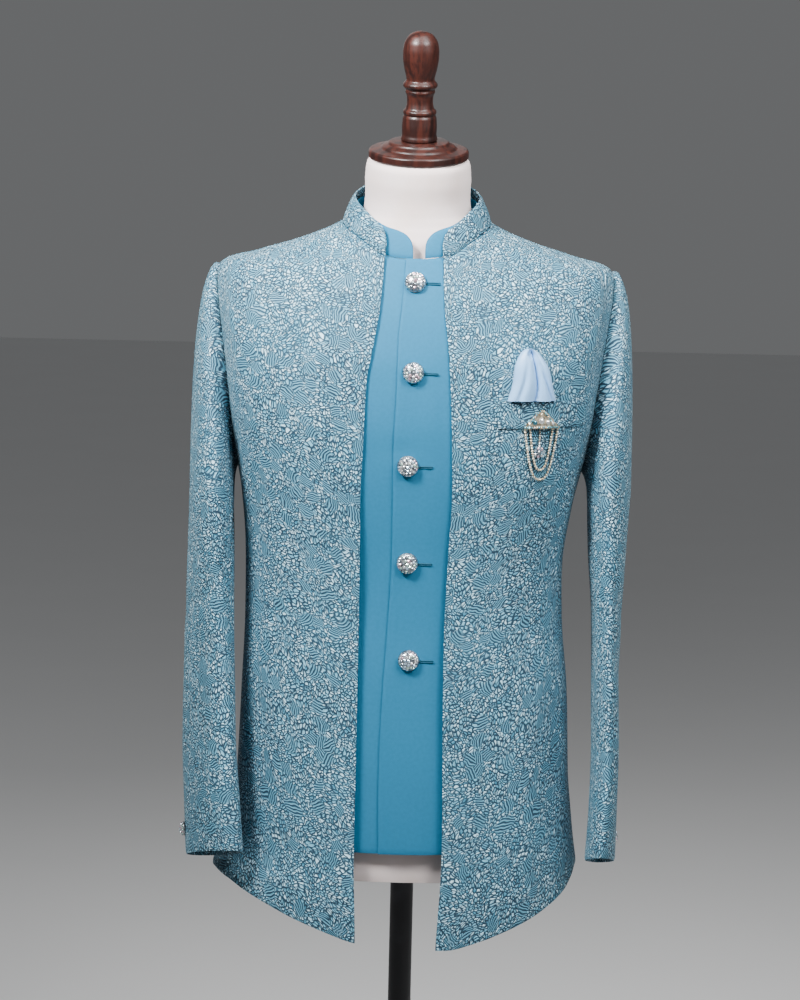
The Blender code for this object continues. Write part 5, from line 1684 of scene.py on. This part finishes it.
@dataclass
class JacketSet:
    """The open jacket: fronts, back, collar and two-piece sleeves."""

    finish: Material
    counts: tuple[int, ...] = (6 * FINER, 6 * FINER, 10 * FINER, 12 * FINER)
    back_neck: int = 5 * FINER

    def panel(self, name: str, grid: Array, cut: tuple[float, float], area: float) -> Array:
        """Build one body panel from its turns and heights.

        Args:
            name: the panel's name, as in the solids.
            grid: its turns and heights.
            cut: the width and length it was cut from; not used.
            area: the cut's own area; not used.

        Returns:
            The outer face's top edge.
        """
        top = JACKET.points(grid[-1, :, 0], grid[-1, :, 1])
        grid = finer_borders(grid)
        turn, z = grid[..., 0], grid[..., 1]
        faces = turn_edges(JACKET.points(turn, z), JACKET.points(turn, z, -JACKET_WALL))
        made = wall_piece(name + "_cloth", *faces, self.finish)
        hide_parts(name)
        return top

    def build(self) -> None:
        """Build every panel, then the collar on their top edges, then the sleeves."""
        tops = {}
        for side, column, name in ((1, "right", "jacket_front_left"),
                                   (-1, "left", "jacket_front_right")):
            grid = JACKET.front(side, lambda z, c=column: read(JACKET_EDGE, c, z), self.counts)
            top = self.panel(name, grid, (0.30, 0.76), 0.168)
            tops[side] = top[:self.counts[0] + 1]
        grid = JACKET.back((self.back_neck,) + self.counts[1:])
        top = self.panel("jacket_back", grid, (0.56, 0.76), 0.352)
        shoulder = self.counts[1]
        line = foot_line(tops[1], top[shoulder:-shoulder], tops[-1][::-1])
        faces = collar(line, JACKET_COLLAR, JACKET_NECK, COLLAR_CORNER, JACKET_WALL)
        made = wall_piece("jacket_collar_cloth", *turn_edges(*faces), self.finish)
        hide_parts("jacket_collar")
        for side, word, sizes in SLEEVES:
            sleeve = Sleeve(side, sizes)
            self.sleeve_piece(f"top_sleeve_{word}", sleeve, BACK_SLEEVE_SEAM, FRONT_SLEEVE_SEAM)
            self.sleeve_piece(f"under_sleeve_{word}", sleeve, FRONT_SLEEVE_SEAM,
                              BACK_SLEEVE_SEAM + 360)

    def sleeve_piece(self, name: str, sleeve: Sleeve, first: float, last: float) -> None:
        """Build one sleeve piece between two seams.

        Args:
            name: the piece's name, as in the solids.
            sleeve: the sleeve that it is cut for.
            first: angle of the first seam, in degrees.
            last: angle of the other seam.
        """
        faces = turn_edges(*sleeve.panel(first, last))
        made = wall_piece(name + "_cloth", *faces, self.finish, flip=sleeve.side > 0,
                          level_row=CAP_ROWS + len(EDGE_STEPS) - 1)
        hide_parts(name)


@dataclass
class WaistcoatSet:
    """The closed waistcoat under the jacket."""

    finish: Material
    thread: Material
    counts: tuple[int, ...] = (6 * FINER, 4 * FINER, 5 * FINER, 10 * FINER)

    def lap(self, turn: Array, z: Array) -> Array:
        """Give how far the lapping front stands over the other, fading away from the middle."""
        x = PLAIN_WAISTCOAT.points(turn, z)[..., 0]
        return LAP_RISE * (1 - smoothstep(LAP_FLAT_TO, LAP_FADES_BY, x))

    def panel(self, name: str, grid: Array, lapped: bool, cut: tuple[float, float],
              area: float) -> Array:
        """Build one panel.

        Args:
            name: the panel's name, as in the solids.
            grid: its turns and heights.
            lapped: whether it laps over the other front.
            cut: the width and length it was cut from; not used.
            area: the cut's own area; not used.

        Returns:
            The outer face's top edge.
        """
        edge = grid[-1]
        lift = self.lap(edge[:, 0], edge[:, 1]) if lapped else 0.0
        top = PLAIN_WAISTCOAT.points(edge[:, 0], edge[:, 1], lift)
        grid = finer_borders(grid)
        turn, z = grid[..., 0], grid[..., 1]
        lift = self.lap(turn, z) if lapped else 0.0
        faces = turn_edges(WAISTCOAT.points(turn, z, lift),
                           WAISTCOAT.points(turn, z, lift - WAISTCOAT_WALL))
        made = wall_piece(name + "_cloth", *faces, self.finish)
        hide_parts(name)
        return top

    def build(self) -> None:
        """Build fronts, back, collar and buttonholes."""
        tops = {}
        for side, column, name in ((1, "lap", "waistcoat_front_left"),
                                   (-1, "under", "waistcoat_front_right")):
            grid = PLAIN_WAISTCOAT.front(side, lambda z, c=column: read(PLACKET_EDGE, c, z),
                                         self.counts)
            top = self.panel(name, grid, side > 0, (0.28, 0.66), 0.140)
            tops[side] = top[:self.counts[0] + 1]
        grid = PLAIN_WAISTCOAT.back(self.counts)
        top = self.panel("waistcoat_back", grid, False, (0.50, 0.68), 0.262)
        shoulder = self.counts[1]
        right_end, left_end = WAISTCOAT_COLLAR_ENDS
        line = foot_line(clip_line(tops[1], left_end), top[shoulder:-shoulder],
                         clip_line(tops[-1], right_end)[::-1])
        faces = collar(line, WAISTCOAT_COLLAR, WAISTCOAT_NECK, WAISTCOAT_COLLAR_CORNER,
                       WAISTCOAT_WALL)
        made = wall_piece("waistcoat_collar_cloth", *turn_edges(*faces), self.finish)
        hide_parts("waistcoat_collar")
        self.buttonholes()

    def buttonholes(self) -> None:
        """Work a buttonhole beside each button: two raised lips with a slit between them."""
        across, up = np.meshgrid(np.linspace(-1, 1, 33), np.linspace(-1, 1, 13))
        lips = np.exp(-(((np.abs(up) - 0.55) / 0.30) ** 2)) * (1 - 0.75 * np.abs(across) ** 12)
        stitch = 0.86 + 0.14 * np.cos(across * math.pi * 15)
        thick = 0.00025 + BUTTONHOLE["rise"] * lips * stitch
        over = np.abs(across) > 0.8
        ends = np.sqrt(np.clip(1 - (np.abs(across) - 0.8) ** 2 / 0.05 * over, 0.1, 1))
        for number, (x, z) in enumerate(zip(BUTTONS["x"], BUTTONS["z"]), 1):
            side = x + BUTTONHOLE["start"] + BUTTONHOLE["length"] * (across + 1) / 2
            level = z - BUTTONHOLE["down"] + BUTTONHOLE["width"] / 2 * up * ends
            faces = WAISTCOAT.patch(side, level, LAP_RISE + 0.0001, thick)
            made = wall_piece(f"buttonhole_{number}", *faces, self.thread)


@dataclass
class ButtonSet:
    """Domed buttons, their silver settings crowded with clear stones."""

    stone: Material
    silver: Material

    def button(self, node: str, at: Array, out: Array, radius: float, height: float,
               seed: int) -> None:
        """Build one button: a dome with rings of stones, and a beaded rim.

        Args:
            node: the solid that it stands for.
            at: the middle of its back.
            out: which way it faces.
            radius: its radius.
            height: its height.
            seed: what its stones' turns start from.
        """
        edge = 0.22 * height
        rise = np.radians(np.linspace(90, 4, 16))
        dome = np.stack([radius * DOME_SHARE * np.cos(rise),
                         edge + (height * 0.92 - edge) * np.sin(rise)], axis=-1)
        dome[0, 0] = 0.0
        foot = np.array([[radius * 0.97, edge * 0.9], [radius, edge * 0.6], [radius * 0.97, 0.0004],
                         [radius * 0.90, 0.0], [0.0, 0.0]])
        aside, ahead = axes_for(out[None])
        setting = turned_piece(node + "_setting", np.concatenate([dome, foot]), 40,
                               axes_matrix(aside[0], ahead[0], out, at), self.silver)
        scale = radius / BUTTON_RADIUS
        centres, faces_out, sizes = [], [], []
        for lift, count, size in zip(*BUTTON_STONES.values()):
            a = math.radians(lift)
            around = np.linspace(0, 2 * math.pi, int(count), endpoint=False) + a
            flat = np.cos(around)[:, None] * aside + np.sin(around)[:, None] * ahead
            up = edge + (height * DOME_SHARE - edge) * math.sin(a)
            centres.append(at + flat * radius * DOME_SHARE * math.cos(a) + out * up)
            faces_out.append(unit(flat * math.cos(a) / radius + out * math.sin(a) / (height - edge)))
            sizes.append(np.full(int(count), size * scale))
        made = stones_piece(node + "_stones", np.concatenate(centres), np.concatenate(faces_out),
                            np.concatenate(sizes), self.stone, seed)
        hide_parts(node)

    def build(self) -> None:
        """Build the waistcoat's five buttons and one at each cuff."""
        for number, (x, z) in enumerate(zip(BUTTONS["x"], BUTTONS["z"]), 1):
            turn, level = PLAIN_WAISTCOAT.under_front(x, z, LAP_RISE)
            out = normals(PLAIN_WAISTCOAT.points, turn, level)
            at = PLAIN_WAISTCOAT.points(turn, level, LAP_RISE) + out * BUTTON_SEAT
            self.button(f"waistcoat_button_{number}", at, out, BUTTON_RADIUS, BUTTON_HEIGHT,
                        STONE_SEED + number)
        for side, word, sizes in SLEEVES:
            sleeve, angle = Sleeve(side, sizes), math.radians(CUFF_BUTTON_ANGLE)
            run = 2 - CUFF_BUTTON_RISE / (sizes["z"][-1] - sizes["z"][0])
            out = normals(sleeve.surface, angle, run, 0.002) * side
            at = sleeve.surface(angle, run) + out * CUFF_BUTTON_SEAT
            self.button(f"cuff_button_{word}", at, out, CUFF_BUTTON_RADIUS, CUFF_BUTTON_HEIGHT,
                        STONE_SEED + 10 + side)


@dataclass
class BreastPocket:
    """The welt and the folded square standing out of the pocket."""

    brocade: Material
    silk: Material

    def build(self) -> None:
        """Build the welt and the square."""
        across, up = np.meshgrid(border_steps(40) / 40, border_steps(12) / 12)
        x = WELT["left"] + (WELT["right"] - WELT["left"]) * across
        z = WELT["bottom"] + (WELT["top"] - WELT["bottom"]) * up
        faces = turn_edges(*JACKET.patch(x, z, PANEL_SEAT, WELT["thickness"]))
        made = wall_piece("chest_welt_cloth", *faces, self.brocade)
        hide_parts("chest_welt")
        across, up = np.meshgrid(np.linspace(-1, 1, 97), np.linspace(0, 1, 61))
        made = wall_piece("pocket_square_cloth", *self.square(across, up), self.silk)
        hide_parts("pocket_square")

    def square(self, across: Array, up: Array) -> tuple[Array, Array]:
        """Shape the square: puffed lobes that narrow upwards, parted by soft deep folds.

        Args:
            across: -1 to 1 from side to side.
            up: 0 at the welt to 1 at the tips.

        Returns:
            Outer and inner faces.
        """
        middle = (SQUARE["left"] + SQUARE["right"]) / 2
        half = (SQUARE["right"] - SQUARE["left"]) / 2
        wide, shift = read(SQUARE_SHAPE, "half", up), read(SQUARE_SHAPE, "shift", up)
        x = middle + half * (shift + wide * across)
        z = SQUARE["bottom"] + (SQUARE["top"] - SQUARE["bottom"]) * up
        parting = 0.10 + 0.20 * up + 0.05 * np.sin(2 * math.pi * up)
        puff = np.zeros(up.shape)
        for centre, reach, share in (((parting - 1) / 2, (parting + 1) / 2, 1.0),
                                     ((parting + 1) / 2, (1 - parting) / 2, 0.85)):
            lobe = np.sqrt(np.clip(1 - ((across - centre) / reach) ** 2, 0, 1))
            puff = np.maximum(puff, share * lobe)
        hollow = 0.75 * np.exp(-(((across - 0.05) / 0.30) ** 2) - ((up - 0.90) / 0.07) ** 2)
        crease = 0.45 * np.exp(-(((across - 0.80 + 0.45 * up) / 0.09) ** 2))
        crease = crease * smoothstep(0.85, 0.35, up)
        tuck = 0.25 * np.exp(-(((across + 0.60 - 0.35 * up) / 0.14) ** 2))
        tuck = tuck * smoothstep(0.9, 0.3, up)
        swell = 0.45 + 0.55 * np.sin(math.pi * (0.22 + 0.62 * up))
        full = 1.5 * SQUARE["thickness"] * puff * swell
        thick = 0.0010 + full * (1 - hollow) * (1 - crease) * (1 - tuck)
        return JACKET.patch(x, z, PANEL_SEAT, thick)


@dataclass
class Brooch:
    """A pointed plate of stones on a bar, with a drop and two swagged strings of beads."""

    stone: Material
    gilt: Material

    def build(self) -> None:
        """Build the plate, its stones, the strings and the drop."""
        lift = PANEL_SEAT + WELT["thickness"] + 2 * SEAT_GAP
        across, up = np.meshgrid(np.linspace(-1, 1, 41), np.linspace(0, 1, 41))
        tall = BROOCH["top"] - BROOCH["bottom"]
        taper = BROOCH["half_plate"] * np.clip(1 - (up - 0.14) / 0.86, 0, 1) ** 0.8 + 0.0008
        scallop = 1 - 0.10 * np.abs(np.sin(up * math.pi * 4)) * (up > 0.15)
        half = np.where(up < 0.15, BROOCH["half_bar"], taper * scallop)
        x = BROOCH["middle"] + half * across
        ribs = 0.55 + 0.25 * np.cos(across * math.pi * 2)
        thick = BROOCH_THICKNESS * ribs * (1 - 0.4 * np.abs(across) ** 3)
        faces = PLAIN_JACKET.patch(x, BROOCH["bottom"] + tall * up, lift, thick)
        made = wall_piece("brooch_plate_metal", *faces, self.gilt)
        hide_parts("brooch_plate")
        self.plate_stones(lift, tall)
        for number, (span, top, lowest) in enumerate(zip(*CHAINS.values()), 1):
            self.string(number, span, top, lowest)
        self.drop()

    def plate_stones(self, lift: float, tall: float) -> None:
        """Set stones along the bar, up both edges of the point, and one large in the middle."""
        bar = np.stack([np.linspace(-0.92, 0.92, 15) * BROOCH["half_bar"],
                        np.full(15, 0.07)], axis=-1)
        t = np.linspace(0.22, 0.93, 8)
        edge = (BROOCH["half_plate"] * (1 - (t - 0.14) / 0.86) ** 0.8) * 0.80
        sides = np.concatenate([np.stack([edge, t], axis=-1), np.stack([-edge, t], axis=-1)])
        inner = np.array([[0.0, 0.42], [0.0, 0.74], [0.0068, 0.34], [-0.0068, 0.34], [0.0122, 0.26],
                          [-0.0122, 0.26]])
        places = np.concatenate([bar, sides, inner])
        radii = np.concatenate([np.full(15, 0.00115), np.full(16, 0.00110),
                                [0.0036, 0.0020, 0.0026, 0.0026, 0.0017, 0.0017]])
        x = BROOCH["middle"] + places[:, 0]
        z = BROOCH["bottom"] + tall * places[:, 1]
        at, out = PLAIN_JACKET.seat(x, z, lift + BROOCH_THICKNESS * 0.8)
        made = stones_piece("brooch_stones", at, out, radii, self.stone, STONE_SEED + 40,
                            BROOCH_TINTS)

    def string(self, number: int, span: float, top: float, lowest: float) -> None:
        """Hang one string: x goes by the 0.75 power and z by the square of the run."""
        t = np.linspace(-1, 1, 400)
        x = BROOCH["middle"] + span * np.sign(t) * np.abs(t) ** 0.75
        z = lowest + (top - lowest) * np.abs(t) ** 2.0
        turn, level = PLAIN_JACKET.under_front(x, z, CHAIN_RADIUS + PANEL_SEAT)
        path = PLAIN_JACKET.points(turn, level, CHAIN_RADIUS + PANEL_SEAT)
        run = run_lengths(path, 0)
        want = np.linspace(0, run[-1], round(run[-1] / BEAD_PITCH) + 1)
        centres = np.stack([np.interp(want, run, path[:, i]) for i in range(3)], axis=-1)
        made = beads_piece(f"brooch_string_{number}", centres, BEAD_RADIUS, self.gilt)
        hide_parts(f"brooch_chain_{number}")

    def drop(self) -> None:
        """Hang the drop: seven stones round a large one, on a slim stem of beads."""
        tall = DROP["top"] - DROP["bottom"]
        angle = np.linspace(0, 2 * math.pi, 7, endpoint=False)
        ring = np.stack([0.0044 * np.cos(angle), 0.22 + 0.0044 * np.sin(angle) / tall], axis=-1)
        places = np.concatenate([ring, [[0, 0.22], [0, 0.42], [0, 0.52]]])
        radii = np.concatenate([np.full(7, 0.0018), [0.0028, 0.0016, 0.0013]])
        at, out = PLAIN_JACKET.seat(DROP["x"] + places[:, 0], DROP["bottom"] + tall * places[:, 1],
                                    PANEL_SEAT + 0.0020)
        made = stones_piece("brooch_drop_stones", at, out, radii, self.stone, STONE_SEED + 50)
        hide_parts("brooch_drop")
        z = np.linspace(DROP["bottom"] + tall * 0.50, DROP["top"], 8)
        at, _ = PLAIN_JACKET.seat(np.full(8, DROP["x"]), z, PANEL_SEAT + 0.0012)
        made = beads_piece("brooch_drop_beads", at, 0.0009, self.gilt)


@dataclass
class DressForm:
    """The covered torso and neck with its turned cap and finial."""

    cover: Material
    wood: Material

    def build(self) -> None:
        """Build the torso, the cap and the finial."""
        levels = np.concatenate([np.linspace(FORM_BOTTOM, 1.38, 60), np.linspace(1.383, 1.46, 50),
                                 np.linspace(1.464, NECK_TOP, 16)])
        turn = np.linspace(-math.pi, math.pi, 128, endpoint=False)
        grid, z = np.meshgrid(turn, levels)
        inset = read(FORM_INSET, "inset", z)
        ends = np.minimum(z - FORM_BOTTOM, NECK_TOP - z)
        inset = inset + 0.004 * np.exp(-(ends / 0.003))
        at = figure(grid, z) - normals(figure, grid, z, 0.0004) * inset[..., None]
        rows, columns = grid.shape
        index = np.arange(rows * columns).reshape(rows, columns)
        after = np.roll(index, -1, axis=1)
        sides = np.stack([index[:-1], after[:-1], after[1:], index[1:]], axis=-1).reshape(-1, 4)
        faces = sides.tolist() + [index[0].tolist()[::-1], index[-1].tolist()]
        made = new_piece("form_torso_cover", at.reshape(-1, 3), faces, self.cover, sharp=60)
        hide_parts("form_torso")
        neck = Matrix.Translation((0.0, FIGURE["centre_y"][-1], NECK_TOP))
        tilt = neck @ Matrix.Rotation(math.radians(FIGURE["tilt"][-1]), 4, "X")
        for name, profile, rise in (("neck_cap", CAP_PROFILE, SEAT_GAP),
                                    ("finial", FINIAL_PROFILE, 2 * SEAT_GAP + CAP_PROFILE[0][1])):
            made = turned_piece(name + "_wood", smooth_profile(profile), 72,
                                tilt @ Matrix.Translation((0, 0, rise)), self.wood)
            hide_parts(name)


@dataclass
class Stand:
    """The pole and the round base."""

    paint: Material

    def build(self) -> None:
        """Build the pole and the base with its boss."""
        top, foot = FORM_BOTTOM - SEAT_GAP, BOSS_HEIGHT + SEAT_GAP
        pole = ((0.0, top), (POLE_RADIUS, top), (POLE_RADIUS, foot), (0.0, foot))
        base = ((0.0, BOSS_HEIGHT), (BOSS_RADIUS - 0.002, BOSS_HEIGHT),
                (BOSS_RADIUS, BOSS_HEIGHT - 0.002), (BOSS_RADIUS, BASE_HEIGHT + 0.003),
                (BOSS_RADIUS + 0.003, BASE_HEIGHT), (BASE_RADIUS - 0.006, BASE_HEIGHT - 0.004),
                (BASE_RADIUS - 0.001, BASE_HEIGHT - 0.007), (BASE_RADIUS, BASE_HEIGHT - 0.010),
                (BASE_RADIUS, 0.0), (0.0, 0.0))
        for name, profile, steps in (("stand_pole", pole, 48), ("stand_base", base, 128)):
            made = turned_piece(name + "_painted", smooth_profile(profile), steps, Matrix.Identity(4),
                                self.paint)
            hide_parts(name)


class Studio:
    """Pale floor, soft lights and the camera."""

    def camera(self) -> None:
        """Place the camera: level to the right, raised by its angle, then rolled."""
        angle = CAMERA_HEIGHT_ANGLE
        ahead = np.array([0.0, math.cos(angle), -math.sin(angle)])
        right = np.array([1.0, 0.0, 0.0])
        up = np.cross(right, ahead)
        c, s = math.cos(CAMERA_ROLL), math.sin(CAMERA_ROLL)
        place = axes_matrix(c * right + s * up, c * up - s * right, -ahead,
                            np.array(LOOK_AT) - CAMERA_DISTANCE * ahead)
        data = bpy.data.cameras.new("camera")
        data.sensor_fit, data.sensor_height, data.lens = "VERTICAL", SENSOR_HEIGHT, CAMERA_LENS
        bpy.context.scene.camera = add_object("camera", data, place)

    def light(self, name: str, watts: float, size: float, at: Sequence[float],
              aim: Sequence[float], spread: float) -> None:
        """Hang a square soft light.

        Args:
            name: the light's name.
            watts: its power.
            size: the length of its sides.
            at: where it hangs.
            aim: the point that it faces.
            spread: how wide its beam is, in degrees.
        """
        data = bpy.data.lights.new(name, "AREA")
        data.energy, data.size, data.spread = watts, size, math.radians(spread)
        back = unit(np.array(at, float) - np.array(aim, float))
        right = unit(np.cross([0.0, 0.0, 1.0], back))
        add_object(name, data, axes_matrix(right, np.cross(back, right), back, at))

    def build(self) -> None:
        """Lay the floor, hang the lights, set a pale surrounding and place the camera."""
        corners = np.array([(-1, -1, 0), (1, -1, 0), (1, 1, 0), (-1, 1, 0)])
        mesh = bpy.data.meshes.new("floor")
        mesh.from_pydata((corners * FLOOR_HALF - [0, 0, FLOOR_DROP]).tolist(), [], [(0, 1, 2, 3)])
        mesh.materials.append(FloorFinish().make())
        floor = add_object("floor", mesh)
        for name, lamp in LIGHTS.items():
            self.light(name, **lamp)
        world = bpy.data.worlds.new("studio")
        world.use_nodes = True
        background = world.node_tree.nodes["Background"]
        background.inputs["Color"].default_value = SURROUNDING
        background.inputs["Strength"].default_value = SURROUNDING_STRENGTH
        bpy.context.scene.world = world
        self.camera()


def main() -> None:
    """Build every piece in order."""
    logging.basicConfig(level=logging.INFO, format="%(name)s: %(message)s")
    finishes = Wardrobe()
    DressForm(finishes.cover, finishes.wood).build()
    Stand(finishes.paint).build()
    WaistcoatSet(finishes.suiting, finishes.thread).build()
    JacketSet(finishes.brocade).build()
    BreastPocket(finishes.brocade, finishes.silk).build()
    Brooch(finishes.stone, finishes.gilt).build()
    ButtonSet(finishes.stone, finishes.silver).build()
    Studio().build()


if __name__ == "__main__":
    main()
